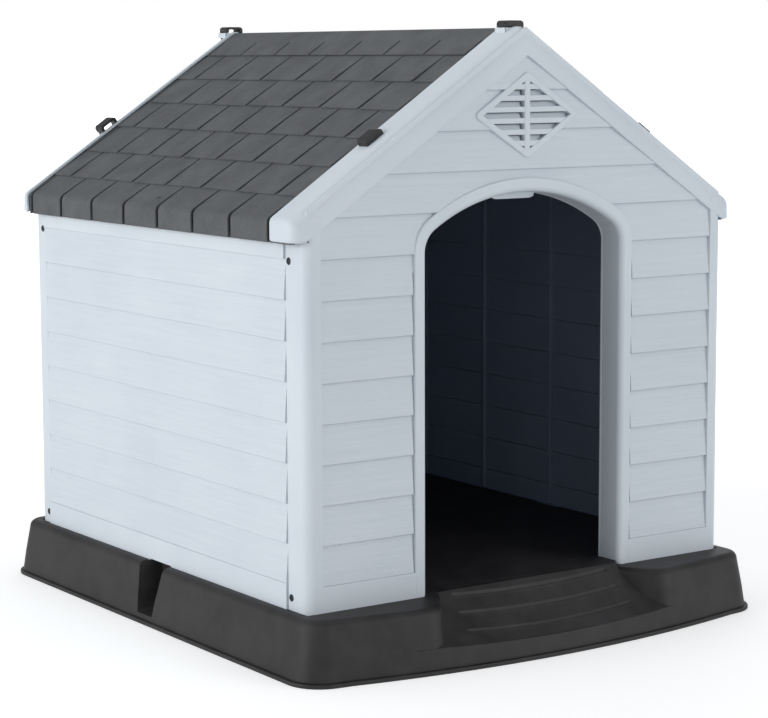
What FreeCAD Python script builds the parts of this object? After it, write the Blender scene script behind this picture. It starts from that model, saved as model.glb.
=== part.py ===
# Moulded plastic dog house that comes as a kit: a tray base, two gable panels, two side
# panels, two roof panels, six roof clips and ten screws.
# Millimetres. X to the right, Y to the back, Z up. The origin is on the floor at the middle
# of the footprint, and the door faces -Y. Names that end in _expr hold expressions that are
# bound to the sheet of sizes.
import FreeCAD, Part
import math
import os
import Sketcher
from FreeCAD import Placement, Rotation, Vector

DRIVING_SIZES = {
    # footprint and heights
    "base_length": 766.0,
    "base_width": 660.0,
    "front_overhang": 83.0,
    "wall_setback": 30.0,
    "house_depth": 642.0,
    "ledge_height": 71.0,
    "floor_height": 75.0,
    "apex_height": 709.0,
    # base tray
    "base_corner_radius": 42.0,
    "base_front_radius": 1300.0,
    "base_lip_height": 5.0,
    "base_lip_reach": 4.0,
    "base_taper": 10.0,
    "base_skin": 3.0,
    "groove_depth": 7.0,
    "ramp_lip_height": 24.0,
    "ramp_lip_setback": 3.0,
    "ramp_top_setback": 8.0,
    "ramp_hollow_radius": 260.0,
    "ramp_top_half_width": 126.0,
    "ramp_lip_half_width": 156.0,
    "tread_half_length": 114.0,
    "tread_groove": 3.0,
    "tread_bow_radius": 1150.0,
    "channel_mouth": 57.0,
    "channel_root": 43.0,
    "channel_reach": 42.0,
    "channel_floor": 11.0,
    # wall panels
    "skin": 2.5,
    "fit_gap": 0.3,
    "plank_pitch": 44.65,
    "plank_step": 2.5,
    "plank_top_step": 0.5,
    "first_plank": 99.8,
    "post_width": 20.5,
    "rail_step": 3.0,
    "front_return": 36.0,
    "back_return": 27.0,
    "eave_band_height": 40.0,
    "lap_width": 30.0,
    "lap_root": 10.0,
    "side_rib_pitch": 146.0,
    "side_rib_depth": 6.0,
    # doorway
    "door_half_width": 140.0,
    "door_top": 520.0,
    "door_crown_radius": 230.0,
    "door_corner_radius": 30.0,
    "door_trim_width": 16.5,
    "door_trim_step": 4.0,
    "door_jamb_depth": 38.0,
    "door_tab_width": 62.0,
    "door_tab_drop": 4.0,
    "door_tab_setback": 24.0,
    # gable vent
    "vent_drop": 102.0,
    "vent_half_width": 76.0,
    "vent_half_height": 49.0,
    "vent_border": 7.5,
    "vent_slot_height": 6.4,
    "vent_slot_pitch": 12.7,
    "vent_bar_width": 8.0,
    # gable rim
    "roof_run": 300.0,
    "roof_rise": 198.5,
    "rim_height": 35.0,
    "rim_reach": 3.5,
    "rim_cap_depth": 44.0,
    "back_rim_reach": 15.0,
    "back_rim_cap_depth": 6.5,
    "rim_overhang": 15.0,
    "rim_nose_drop": 24.5,
    "roof_ledge_width": 13.0,
    "roof_ledge_thickness": 3.0,
    # roof panels
    "roof_overhang": 11.0,
    "roof_end_gap": 5.0,
    "roof_back_gap": 0.5,
    "roof_skin": 2.5,
    "shingle_step": 2.5,
    "ridge_band": 47.0,
    "shingle_pitch": 46.0,
    "tab_pitch": 82.5,
    "tab_joint": 3.0,
    "tab_joint_depth": 1.8,
    "drip_drop": 25.3,
    # clips
    "clip_length": 26.0,
    "clip_depth": 18.0,
    "clip_height": 8.0,
    "clip_bridge": 3.0,
    "clip_leg": 3.5,
    "clip_setback": 30.0,
    "back_clip_setback": -5.5,
    "clip_station": 229.0,
    "prong_width": 10.0,
    "prong_length": 11.0,
    # screws
    "screw_head_radius": 4.2,
    "screw_head_height": 1.8,
    "screw_shank_radius": 2.0,
    "screw_length": 12.0,
    "screw_setback": 29.0,
    "screw_upper_drop": 45.6,
    "screw_lower": 85.0,
    "roof_screw_inset": 13.0,
}

VENT_ROWS = 7
TREADS = 3

doc = FreeCAD.newDocument("dog_house")
sheet = doc.addObject("Spreadsheet::Sheet", "Sizes")
for row, (alias, value) in enumerate(DRIVING_SIZES.items(), start=1):
    sheet.set(f"A{row}", alias)
    sheet.set(f"B{row}", str(value))
    sheet.setAlias(f"B{row}", alias)
doc.recompute()


class SheetNames:
    """Turns Z.alias into the text Sizes.alias, which an expression can read."""

    def __getattr__(self, alias):
        if alias not in DRIVING_SIZES:
            raise AttributeError(alias)
        return f"Sizes.{alias}"


Z = SheetNames()


def value(expression):
    """The number that an expression over the sheet has now."""
    return float(sheet.evalExpression(str(expression)))


# ---------------------------------------------------------------- drawing helpers

AXIS_OF_PLANE = {"XY": "XY_Plane", "XZ": "XZ_Plane", "YZ": "YZ_Plane"}


def bind(obj, links):
    """Binds each property of obj to its expression."""
    for name, expression in links.items():
        obj.setExpression(name, str(expression))


def arc_between(start, end, radius, side):
    """The short arc from start to end; side is 1 where its centre lies left of the way."""
    chord = end.sub(start)
    middle = (start + end) * 0.5
    left = Vector(-chord.y, chord.x, 0).normalize()
    to_centre = math.sqrt(max(radius ** 2 - (chord.Length / 2) ** 2, 0.0))
    centre = middle + left * (side * to_centre)
    crest = centre + (middle - centre).normalize() * radius
    if side > 0:
        return Part.Arc(start, crest, end)
    return Part.Arc(end, crest, start)


def outline(body, name, plane, points, start_expr="0"):
    """A closed sketch. Each point is (x, y) or (x, y, radius, side) where an arc follows it."""
    sketch = body.newObject("Sketcher::SketchObject", name)
    role = AXIS_OF_PLANE[plane]
    datum = [item for item in body.Origin.OriginFeatures if item.Role == role][0]
    sketch.AttachmentSupport = [(datum, "")]
    sketch.MapMode = "FlatFace"
    away = f"-({start_expr})" if plane == "XZ" else start_expr
    bind(sketch, {"AttachmentOffset.Base.z": away})
    places = [Vector(value(point[0]), value(point[1]), 0) for point in points]
    for index, point in enumerate(points):
        start = places[index]
        end = places[(index + 1) % len(points)]
        if len(point) == 2:
            sketch.addGeometry(Part.LineSegment(start, end), False)
        else:
            sketch.addGeometry(arc_between(start, end, value(point[2]), point[3]), False)
    tails = [2 if len(point) == 4 and point[3] < 0 else 1 for point in points]
    for index, point in enumerate(points):
        follower = (index + 1) % len(points)
        head = 3 - tails[index]
        sketch.addConstraint(
            Sketcher.Constraint("Coincident", index, head, follower, tails[follower]))
        pin(sketch, "DistanceX", index, tails[index], point[0])
        pin(sketch, "DistanceY", index, tails[index], point[1])
        if len(point) == 4:
            mark = sketch.addConstraint(
                Sketcher.Constraint("Radius", index, value(point[2])))
            bind(sketch, {f"Constraints[{mark}]": point[2]})
    return sketch


def pin(sketch, kind, index, end, expression):
    """Holds one coordinate of a curve's end at an expression."""
    here = value(expression)
    if abs(here) < 1e-9:
        axis = -2 if kind == "DistanceX" else -1
        sketch.addConstraint(Sketcher.Constraint("PointOnObject", index, end, axis))
        return
    mark = sketch.addConstraint(Sketcher.Constraint(kind, -1, 1, index, end, here))
    bind(sketch, {f"Constraints[{mark}]": expression})


def prism(name, plane, points, start_expr, depth_expr):
    """A body with one padded outline, from start to start + depth along the plane's axis."""
    body = doc.addObject("PartDesign::Body", name)
    sketch = outline(body, name + "_outline", plane, points, start_expr)
    pad = body.newObject("PartDesign::Pad", name + "_pad")
    pad.Profile = sketch
    bind(pad, {"Length": depth_expr})
    pad.Reversed = plane == "XZ"
    return body


def box(name, low, size):
    """A block from its low corner and its three sizes, all of them expressions."""
    block = doc.addObject("Part::Box", name)
    bind(block, {"Length": size[0], "Width": size[1], "Height": size[2],
                 "Placement.Base.x": low[0], "Placement.Base.y": low[1],
                 "Placement.Base.z": low[2]})
    return block


def span(name, low, high):
    """A block between two corners."""
    size = [f"({top}) - ({bottom})" for bottom, top in zip(low, high)]
    return box(name, low, size)


def rod(name, radius, height, place):
    """A cylinder that starts at place and runs along its own Z axis."""
    cylinder = doc.addObject("Part::Cylinder", name)
    bind(cylinder, {"Radius": radius, "Height": height})
    cylinder.Placement = place
    return cylinder


def fuse(name, shapes):
    joined = doc.addObject("Part::MultiFuse", name)
    joined.Shapes = shapes
    joined.Refine = True
    return joined


def cut(name, base, tools):
    """The base without its tools."""
    tool = tools[0] if len(tools) == 1 else fuse(name + "_tools", tools)
    rest = doc.addObject("Part::Cut", name)
    rest.Base = base
    rest.Tool = tool
    return rest


def common(name, base, tool):
    shared = doc.addObject("Part::Common", name)
    shared.Base = base
    shared.Tool = tool
    return shared


def turned(x, y, z, axis=Vector(0, 0, 1), angle=0.0):
    """A placement at numbers or expressions, turned about an axis."""
    return Placement(Vector(value(x), value(y), value(z)), Rotation(axis, angle))


# ---------------------------------------------------------------- shared places

FRONT = f"(-{Z.base_length} / 2 + {Z.front_overhang})"
BACK = f"({FRONT} + {Z.house_depth})"
MIDDLE_Y = f"({FRONT} + {Z.house_depth} / 2)"
WALL_X = f"({Z.base_width} / 2 - {Z.wall_setback})"
INNER_X = f"({WALL_X} - {Z.skin})"
LAP_X = f"({INNER_X} - {Z.fit_gap})"
LAP_INNER_X = f"({LAP_X} - {Z.skin})"
FOOT = f"({Z.ledge_height} - {Z.groove_depth})"
ROOF_SLOPE = f"({Z.roof_rise} / {Z.roof_run})"
ROOF_SECANT = f"(sqrt({Z.roof_rise}^2 + {Z.roof_run}^2) / {Z.roof_run})"
ROOF_COS = f"({Z.roof_run} / sqrt({Z.roof_rise}^2 + {Z.roof_run}^2))"
ROOF_SIN = f"({Z.roof_rise} / sqrt({Z.roof_rise}^2 + {Z.roof_run}^2))"
ROOF_ANGLE = math.degrees(math.atan(value(ROOF_SLOPE)))
ROOF_TOP_DEPTH = f"({Z.skin} + {Z.fit_gap})"
ROOF_UNDER_DEPTH = f"({ROOF_TOP_DEPTH} + {Z.shingle_step} + {Z.roof_skin})"
ROOF_SCREW_DEPTH = f"({ROOF_TOP_DEPTH} + {Z.shingle_step})"


def slope_height(x_expr, depth_expr):
    """Height at x of the plane that lies a square depth below the outer roof plane."""
    return (f"({Z.apex_height} - {ROOF_SLOPE} * ({x_expr})"
            f" - ({depth_expr}) * {ROOF_SECANT})")


ROOF_X = f"({WALL_X} + {Z.roof_overhang})"
RIM_X = f"({WALL_X} + {Z.rim_overhang})"
RIM_NOSE_BOTTOM = f"({slope_height(RIM_X, '0')} - {Z.rim_nose_drop})"
DRIP_BOTTOM = f"({slope_height(ROOF_X, ROOF_TOP_DEPTH)} - {Z.drip_drop})"
WALL_TOP = slope_height(WALL_X, f"{ROOF_UNDER_DEPTH} + {Z.fit_gap}")
SCREW_UPPER = f"({WALL_TOP} - {Z.screw_upper_drop})"
VENT_HEIGHT = f"({Z.apex_height} - {Z.vent_drop})"


def whole_rows(length_expr, pitch_expr):
    """How many rows of a pitch fit in a length."""
    return int(value(f"({length_expr}) / ({pitch_expr})"))


SIDE_PLANKS = whole_rows(f"{WALL_TOP} - {Z.eave_band_height} - {Z.first_plank}", Z.plank_pitch)
GABLE_PLANKS = whole_rows(f"{Z.apex_height} - {Z.first_plank}", Z.plank_pitch)
SHINGLE_ROWS = whole_rows(f"{ROOF_X} - {Z.ridge_band}", Z.shingle_pitch) + 1
HALF_TABS = whole_rows(f"{Z.house_depth} / 2", Z.tab_pitch) + 1


def chevron(outer_depth, inner_depth, half_width):
    """A roof-shaped band between two depths below the outer roof plane."""
    return [
        (f"-({half_width})", slope_height(half_width, outer_depth)),
        ("0", slope_height("0", outer_depth)),
        (half_width, slope_height(half_width, outer_depth)),
        (half_width, slope_height(half_width, inner_depth)),
        ("0", slope_height("0", inner_depth)),
        (f"-({half_width})", slope_height(half_width, inner_depth)),
    ]


def gable(half_width, foot, depth):
    """The five-sided outline of a gable wall under the roof plane."""
    return [
        (f"-({half_width})", foot),
        (half_width, foot),
        (half_width, slope_height(half_width, depth)),
        ("0", slope_height("0", depth)),
        (f"-({half_width})", slope_height(half_width, depth)),
    ]


def arch(half_width, foot, top, crown, corner):
    """A doorway outline: straight sides, two corner arcs and one crown arc, all tangent."""
    crown_centre = f"(({top}) - ({crown}))"
    reach = f"(({crown}) - ({corner}))"
    side = f"(({half_width}) - ({corner}))"
    spring = f"({crown_centre} + sqrt({reach}^2 - {side}^2))"
    touch_x = f"({side} * ({crown}) / {reach})"
    touch_z = f"({crown_centre} + ({spring} - {crown_centre}) * ({crown}) / {reach})"
    return [
        (f"-({half_width})", foot),
        (half_width, foot),
        (half_width, spring, corner, 1),
        (touch_x, touch_z, crown, 1),
        (f"-{touch_x}", touch_z, corner, 1),
        (f"-({half_width})", spring),
    ]


def doorway(offset, foot):
    """The doorway outline grown by an offset."""
    return arch(f"{Z.door_half_width} + {offset}", foot, f"{Z.door_top} + {offset}",
                f"{Z.door_crown_radius} + {offset}", f"{Z.door_corner_radius} + {offset}")


def diamond(half_width, half_height):
    """The vent's diamond outline."""
    return [
        (f"-({half_width})", VENT_HEIGHT),
        ("0", f"{VENT_HEIGHT} - ({half_height})"),
        (half_width, VENT_HEIGHT),
        ("0", f"{VENT_HEIGHT} + ({half_height})"),
    ]


def plank_face(name, plane, rows, face, outward, start, length):
    """Lap-siding: one plank's wedge for each row, each proud at its lower edge."""
    planks = []
    for row in range(rows):
        low = f"({Z.first_plank} + {row} * {Z.plank_pitch})"
        high = f"({low} + {Z.plank_pitch})"
        root = f"({face} - ({outward}) * {Z.skin} / 2)"
        wedge = [
            (root, low),
            (f"{face} + ({outward}) * {Z.plank_step}", low),
            (f"{face} + ({outward}) * {Z.plank_top_step}", high),
            (root, high),
        ]
        planks.append(prism(f"{name}_{row}", plane, wedge, start, length))
    return fuse(name, planks)


# ---------------------------------------------------------------- gable panels

# A gable panel is drawn as the front one, with its outer face towards -Y at FRONT.


def vent_parts(name):
    """The raised diamond frame and the slots that are cut through it."""
    frame = prism(f"{name}_vent_frame", "XZ",
                  diamond(Z.vent_half_width, Z.vent_half_height),
                  f"{FRONT} - {Z.door_trim_step}", f"{Z.door_trim_step} + {Z.skin}")
    field = prism(f"{name}_vent_field", "XZ",
                  diamond(f"{Z.vent_half_width} - {Z.vent_border} * 1.6",
                          f"{Z.vent_half_height} - {Z.vent_border}"),
                  f"{FRONT} - 2 * {Z.door_trim_step}", f"4 * {Z.door_trim_step}")
    rows = []
    for row in range(VENT_ROWS):
        level = f"({VENT_HEIGHT} + {row - VENT_ROWS // 2} * {Z.vent_slot_pitch})"
        for side, low, high in (("left", f"-{Z.vent_half_width}", f"-{Z.vent_bar_width} / 2"),
                                ("right", f"{Z.vent_bar_width} / 2", Z.vent_half_width)):
            rows.append(span(
                f"{name}_slot_{side}_{row}",
                (low, f"{FRONT} - 2 * {Z.door_trim_step}",
                 f"{level} - {Z.vent_slot_height} / 2"),
                (high, f"{FRONT} + 2 * {Z.door_trim_step}",
                 f"{level} + {Z.vent_slot_height} / 2")))
    slots = common(f"{name}_slots", fuse(f"{name}_slot_rows", rows), field)
    return frame, slots


def prong_slots(name, setback, grow, low_depth, high_depth):
    """Slots for the prongs of the three clips on a rim that is drawn as the front one."""
    centre_y = f"({FRONT} + {setback})"
    half_y = f"({Z.prong_width} / 2 + {grow})"
    half_x = f"({Z.clip_leg} / 2 + {grow})"
    leg = f"({Z.clip_length} / 2 - {Z.clip_leg} / 2)"
    slots = []
    for side in (-1, 1):
        block = box(f"{name}_peak_{side + 1}",
                    (f"{side} * {leg} - {half_x}", f"{centre_y} - {half_y}",
                     f"{Z.apex_height} - {Z.prong_length} * 3"),
                    (f"2 * {half_x}", f"2 * {half_y}", f"{Z.prong_length} * 4"))
        slots.append(block)
        for end in (-1, 1):
            along = f"({Z.clip_station} + {end} * {leg})"
            slot = doc.addObject("Part::Box", f"{name}_{side + 1}_{end + 1}")
            bind(slot, {"Length": f"2 * {half_x}", "Width": f"2 * {half_y}",
                        "Height": f"{high_depth} - {low_depth}"})
            slot.Placement = slope_place(side, setback, along, high_depth, half_x, half_y)
            slots.append(slot)
    return fuse(name, slots)


def slope_place(side, setback, along, depth, half_x="0", half_y="0"):
    """A place on one slope of a front rim, with X along the slope and Z outward."""
    tilt = Rotation(Vector(0, 1, 0), side * ROOF_ANGLE)
    origin = Vector(0, value(f"{FRONT} + {setback}"), value(Z.apex_height))
    local = Vector(side * value(along) - value(half_x), -value(half_y), -value(depth))
    return Placement(origin + tilt.multVec(local), tilt)


def gable_panel(label, return_depth, has_door, rows):
    """A wall with its gable rim, side returns, planks, and maybe a doorway and a vent."""
    name = label
    if has_door:
        reach, cap_depth, setback = Z.rim_reach, Z.rim_cap_depth, Z.clip_setback
        face_depth = f"({reach} + {Z.skin} / 2)"
    else:
        reach, cap_depth, setback = Z.back_rim_reach, Z.back_rim_cap_depth, Z.back_clip_setback
        face_depth = Z.skin
    in_line = f"{Z.rim_height} / {ROOF_SECANT}"
    field_x = f"({WALL_X} - {Z.post_width})"
    plate = prism(f"{name}_plate", "XZ", gable(WALL_X, FOOT, Z.skin), FRONT, Z.skin)
    planks = plank_face(f"{name}_planks", "YZ", rows, FRONT, "-1",
                        f"-{field_x}", f"2 * {field_x}")
    field = prism(f"{name}_field", "XZ", gable(field_x, Z.first_plank, in_line),
                  f"{FRONT} - {Z.plank_step} * 2", f"{Z.plank_step} * 2 + {Z.skin}")
    parts = [plate, common(f"{name}_siding", planks, field)]
    parts.append(span(f"{name}_rail", (f"-{field_x}", f"{FRONT} - {Z.rail_step}", Z.ledge_height),
                      (field_x, f"{FRONT} + {Z.skin} / 2", Z.first_plank)))
    for side in (-1, 1):
        post = [
            (f"{side} * {field_x}", Z.ledge_height),
            (f"{side} * {WALL_X}", Z.ledge_height),
            (f"{side} * {WALL_X}", slope_height(WALL_X, in_line)),
            (f"{side} * {field_x}", slope_height(field_x, in_line)),
        ]
        parts.append(prism(f"{name}_post_{side + 1}", "XZ", post,
                           f"{FRONT} - {Z.plank_step}", f"{Z.plank_step} + {Z.skin} / 2"))
        flange = [
            (f"{side} * {INNER_X}", FOOT),
            (f"{side} * {WALL_X}", FOOT),
            (f"{side} * {WALL_X}", slope_height(WALL_X, ROOF_UNDER_DEPTH)),
            (f"{side} * {INNER_X}", slope_height(INNER_X, ROOF_UNDER_DEPTH)),
        ]
        parts.append(prism(f"{name}_return_{side + 1}", "XZ", flange, FRONT, return_depth))
        nose = [
            (f"{side} * ({ROOF_X} + {Z.fit_gap})",
             slope_height(RIM_X, Z.skin)),
            (f"{side} * {RIM_X}", slope_height(RIM_X, "0")),
            (f"{side} * {RIM_X}", RIM_NOSE_BOTTOM),
            (f"{side} * ({ROOF_X} + {Z.fit_gap})", RIM_NOSE_BOTTOM),
        ]
        parts.append(prism(f"{name}_nose_{side + 1}", "XZ", nose, f"{FRONT} - {reach}",
                           f"{reach} + {cap_depth}"))
    parts.append(prism(f"{name}_rim_face", "XZ",
                       rim_face_outline(in_line), f"{FRONT} - {reach}", face_depth))
    parts.append(prism(f"{name}_rim_cap", "XZ", chevron("0", Z.skin, RIM_X),
                       f"{FRONT} - {reach}", f"{reach} + {cap_depth}"))
    parts.append(prism(f"{name}_rim_soffit", "XZ",
                       chevron(f"{in_line} - {Z.skin}", in_line, WALL_X),
                       f"{FRONT} - {reach}", f"{reach} + {Z.skin} / 2"))
    parts.append(prism(f"{name}_roof_ledge", "XZ",
                       chevron(ROOF_UNDER_DEPTH,
                               f"{ROOF_UNDER_DEPTH} + {Z.roof_ledge_thickness}",
                               f"{LAP_INNER_X} - {Z.fit_gap}"),
                       f"{FRONT} + {Z.skin} / 2", f"{Z.roof_ledge_width} + {Z.skin} / 2"))
    holes = screw_holes(name, return_depth)
    holes.append(prong_slots(f"{name}_prong_slots", setback, Z.fit_gap,
                             f"-{Z.skin}", f"2 * {Z.skin}"))
    if has_door:
        trim = prism(f"{name}_door_trim", "XZ", doorway(Z.door_trim_width, Z.ledge_height),
                     f"{FRONT} - {Z.door_trim_step}", f"{Z.door_trim_step} + {Z.skin} / 2")
        jamb = prism(f"{name}_door_jamb", "XZ", doorway(Z.skin, Z.floor_height),
                     f"{FRONT} - {Z.door_trim_step}", Z.door_jamb_depth)
        opening = prism(f"{name}_door_opening", "XZ", doorway("0", f"{FOOT} - {Z.skin}"),
                        f"{FRONT} - 2 * {Z.door_trim_step}", f"2 * {Z.door_jamb_depth}")
        tab = span(f"{name}_door_tab",
                   (f"-{Z.door_tab_width} / 2", f"{FRONT} + {Z.door_tab_setback}",
                    f"{Z.door_top} - {Z.door_tab_drop}"),
                   (f"{Z.door_tab_width} / 2",
                    f"{FRONT} + {Z.door_tab_setback} + {Z.skin}",
                    f"{Z.door_top} + {Z.skin} / 2"))
        frame, slots = vent_parts(name)
        parts.extend([trim, jamb, frame])
        holes.extend([opening, slots])
        shell = cut(f"{name}_shell", fuse(f"{name}_solid", parts), holes)
        panel = fuse(f"{name}_with_tab", [shell, tab])
    else:
        panel = cut(f"{name}_shell", fuse(f"{name}_solid", parts), holes)
    panel.Label = label
    return panel


def rim_face_outline(in_line):
    """The rim's front face: the band between the slopes, down to both eave noses."""
    half = RIM_X
    return [
        (f"-{half}", slope_height(half, "0")),
        ("0", slope_height("0", "0")),
        (half, slope_height(half, "0")),
        (half, RIM_NOSE_BOTTOM),
        (WALL_X, RIM_NOSE_BOTTOM),
        (WALL_X, slope_height(WALL_X, in_line)),
        ("0", slope_height("0", in_line)),
        (f"-{WALL_X}", slope_height(WALL_X, in_line)),
        (f"-{WALL_X}", RIM_NOSE_BOTTOM),
        (f"-{half}", RIM_NOSE_BOTTOM),
    ]


def screw_heights():
    return (("upper", SCREW_UPPER), ("lower", Z.screw_lower))


def corner_screw_y(return_depth):
    """How far behind a gable panel's face its corner screws stand."""
    return f"({return_depth} - {Z.front_return} + {Z.screw_setback})"


def screw_holes(name, return_depth):
    """Holes through both side returns for the corner screws."""
    holes = []
    for side in (-1, 1):
        for level, height in screw_heights():
            place = turned(f"{side} * ({WALL_X} + {Z.skin})",
                           f"{FRONT} + {corner_screw_y(return_depth)}", height,
                           Vector(0, 1, 0), -90.0 * side)
            holes.append(rod(f"{name}_screw_hole_{level}_{side + 1}",
                             f"{Z.screw_shank_radius} + {Z.fit_gap}",
                             f"4 * {Z.skin}", place))
    return holes


def turned_to_back(panel):
    """Turns a panel that is drawn as the front one so that it closes the back."""
    half_turn = Rotation(Vector(0, 0, 1), 180)
    centre = Vector(0, value(f"{FRONT} + {BACK}"), 0)
    panel.Placement = Placement(centre, half_turn)
    return panel


front_panel = gable_panel("front_panel", Z.front_return, True, GABLE_PLANKS)
back_panel = turned_to_back(
    gable_panel("back_panel", Z.back_return, False, GABLE_PLANKS))


# ---------------------------------------------------------------- side panels

SEAM_FRONT = f"({FRONT} + {Z.front_return} + {Z.fit_gap})"
SEAM_BACK = f"({BACK} - {Z.back_return} - {Z.fit_gap})"
CHANNEL_Y = MIDDLE_Y
BACK_LAP_SHARE = 0.7


def side_panel(label, side):
    """A side wall whose ends lap behind the returns of the two gable panels."""
    name = label
    top = WALL_TOP
    between = f"{SEAM_BACK} - {SEAM_FRONT}"
    last_line = f"({Z.first_plank} + {SIDE_PLANKS} * {Z.plank_pitch})"

    def plate(part, inner, outer, low_y, high_y, low_z, high_z):
        bounds = sorted((f"{side} * ({inner})", f"{side} * ({outer})"), key=value)
        return span(f"{name}_{part}", (bounds[0], low_y, low_z), (bounds[1], high_y, high_z))

    parts = [
        plate("skin", INNER_X, WALL_X, SEAM_FRONT, SEAM_BACK, FOOT, top),
        plate("rail", INNER_X, f"{WALL_X} + {Z.plank_step}", SEAM_FRONT, SEAM_BACK,
              Z.ledge_height, Z.first_plank),
        plate("eave_band", INNER_X, f"{WALL_X} + {Z.plank_step}", SEAM_FRONT, SEAM_BACK,
              last_line, f"{top} - 2 * {Z.skin}"),
        plank_face(f"{name}_planks", "XZ", SIDE_PLANKS, f"{side} * {WALL_X}",
                   str(side), SEAM_FRONT, between),
    ]
    lap_top = f"({top} - 2 * {Z.skin})"
    for end, seam, far in (("front", SEAM_FRONT, f"({SEAM_FRONT} - {Z.lap_width})"),
                           ("back", SEAM_BACK, f"({SEAM_BACK} + {Z.lap_width} * {BACK_LAP_SHARE})")):
        inward = 1 if end == "front" else -1
        root = f"({seam} + {inward} * {Z.lap_root})"
        lap = sorted((far, root), key=value)
        tie = sorted((seam, root), key=value)
        parts.append(plate(f"{end}_lap", LAP_INNER_X, LAP_X, lap[0], lap[1], FOOT, lap_top))
        parts.append(plate(f"{end}_tie", LAP_X, INNER_X, tie[0], tie[1], FOOT, lap_top))
    for step in (-1, 0, 1):
        centre = f"({MIDDLE_Y} + {step} * {Z.side_rib_pitch})"
        parts.append(plate(f"rib_{step + 1}", f"{INNER_X} - {Z.side_rib_depth}", INNER_X,
                           f"{centre} - {Z.skin} / 2", f"{centre} + {Z.skin} / 2",
                           f"{Z.floor_height} + {Z.fit_gap}", f"{top} - 4 * {Z.skin}"))
    parts.append(roof_screw_boss(name, side))
    holes = [roof_screw_rod(f"{name}_boss_hole", side, Z.screw_shank_radius, Z.screw_length)]
    for end, panel_front, depth, sign in (("front", FRONT, Z.front_return, 1),
                                          ("back", BACK, Z.back_return, -1)):
        for level, height in screw_heights():
            place = turned(f"{side} * ({WALL_X} + {Z.skin})",
                           f"{panel_front} + {sign} * {corner_screw_y(depth)}", height,
                           Vector(0, 1, 0), -90.0 * side)
            holes.append(rod(f"{name}_{end}_hole_{level}",
                             f"{Z.screw_shank_radius} + {Z.fit_gap}", f"4 * {Z.skin}", place))
    holes.append(plate("channel_relief", f"{WALL_X} - 4 * {Z.skin}", f"{WALL_X} + 4 * {Z.skin}",
                       f"{CHANNEL_Y} - {Z.channel_root} / 2",
                       f"{CHANNEL_Y} + {Z.channel_root} / 2",
                       f"{FOOT} - {Z.skin}", f"{Z.ledge_height} - {Z.skin}"))
    panel = cut(f"{name}_shell", fuse(f"{name}_solid", parts), holes)
    panel.Label = label
    return panel


def roof_screw_x():
    return f"({ROOF_X} - {Z.roof_screw_inset})"


def roof_screw_place(side, depth):
    """At the eave screw, a square depth below the roof plane, with Z inward."""
    x = value(roof_screw_x())
    height = value(slope_height(roof_screw_x(), "0"))
    tilt = Rotation(Vector(0, 1, 0), 180.0 + side * ROOF_ANGLE)
    inward = tilt.multVec(Vector(0, 0, value(depth)))
    return Placement(Vector(side * x, value(MIDDLE_Y), height) + inward, tilt)


def roof_screw_rod(name, side, radius, length):
    """The eave screw's hole, from above the roof down through it."""
    return rod(name, f"{radius} + {Z.fit_gap}", f"{length} * 2",
               roof_screw_place(side, f"-{Z.skin}"))


def roof_screw_pocket(name, side):
    """The round pocket that lets the eave screw's head lie below the shingles."""
    return rod(name, f"{Z.screw_head_radius} + 2 * {Z.fit_gap}",
               f"{ROOF_SCREW_DEPTH} + {Z.skin}", roof_screw_place(side, f"-{Z.skin}"))


def roof_screw_boss(name, side):
    """A block at the wall's top that takes the eave screw, with its top under the roof."""
    outer = f"({WALL_X} - {Z.skin} / 2)"
    inner = f"({WALL_X} - 9 * {Z.skin})"
    under = f"{ROOF_UNDER_DEPTH} + {Z.fit_gap}"
    points = [
        (f"{side} * {outer}", f"{slope_height(outer, under)} - 9 * {Z.skin}"),
        (f"{side} * {outer}", slope_height(outer, under)),
        (f"{side} * {inner}", slope_height(inner, under)),
        (f"{side} * {inner}", f"{slope_height(inner, under)} - 6 * {Z.skin}"),
    ]
    return prism(f"{name}_boss", "XZ", points, f"{MIDDLE_Y} - 3 * {Z.skin}", f"6 * {Z.skin}")


left_side_panel = side_panel("left_side_panel", -1)
right_side_panel = side_panel("right_side_panel", 1)


# ---------------------------------------------------------------- roof panels

# A roof panel is drawn flat: X runs from the ridge at 0 down to the eave at minus X, Z is
# the outward normal with the outer roof plane at 0, and Y is the house's own Y.


def flat_place(x_expr, z_expr):
    """A point of the left slope, given as it stands, in the flat panel's own plane."""
    along = f"(({x_expr}) * {ROOF_COS} + (({z_expr}) - {Z.apex_height}) * {ROOF_SIN})"
    normal = f"((({z_expr}) - {Z.apex_height}) * {ROOF_COS} - ({x_expr}) * {ROOF_SIN})"
    return along, normal


def shingle_line(row):
    """Distance from the ridge, along the slope, of a shingle row's lower edge."""
    return f"(({Z.ridge_band} + {row} * {Z.shingle_pitch}) * {ROOF_SECANT})"


def roof_profile():
    """The panel's section: ridge band, stepped rows, drip edge and the underside."""
    top = f"-{ROOF_TOP_DEPTH}"
    low = f"(-{ROOF_TOP_DEPTH} - {Z.shingle_step})"
    under = f"(-{ROOF_UNDER_DEPTH})"
    ridge_gap = f"(-{Z.fit_gap} / 2)"
    points = [flat_place(ridge_gap, slope_height("0", ROOF_UNDER_DEPTH)),
              flat_place(ridge_gap, slope_height("0", ROOF_TOP_DEPTH))]
    for row in range(SHINGLE_ROWS):
        points.append((f"-{shingle_line(row)}", top))
        points.append((f"-{shingle_line(row)}", low))
    eave = f"(-{ROOF_X})"
    inside = f"(-{ROOF_X} + {Z.roof_skin})"
    points.append(flat_place(eave, slope_height(ROOF_X, ROOF_TOP_DEPTH)))
    points.append(flat_place(eave, DRIP_BOTTOM))
    points.append(flat_place(inside, DRIP_BOTTOM))
    corner = f"({ROOF_X} - {Z.roof_skin})"
    points.append(flat_place(inside, slope_height(corner, ROOF_UNDER_DEPTH)))
    return points


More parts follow.
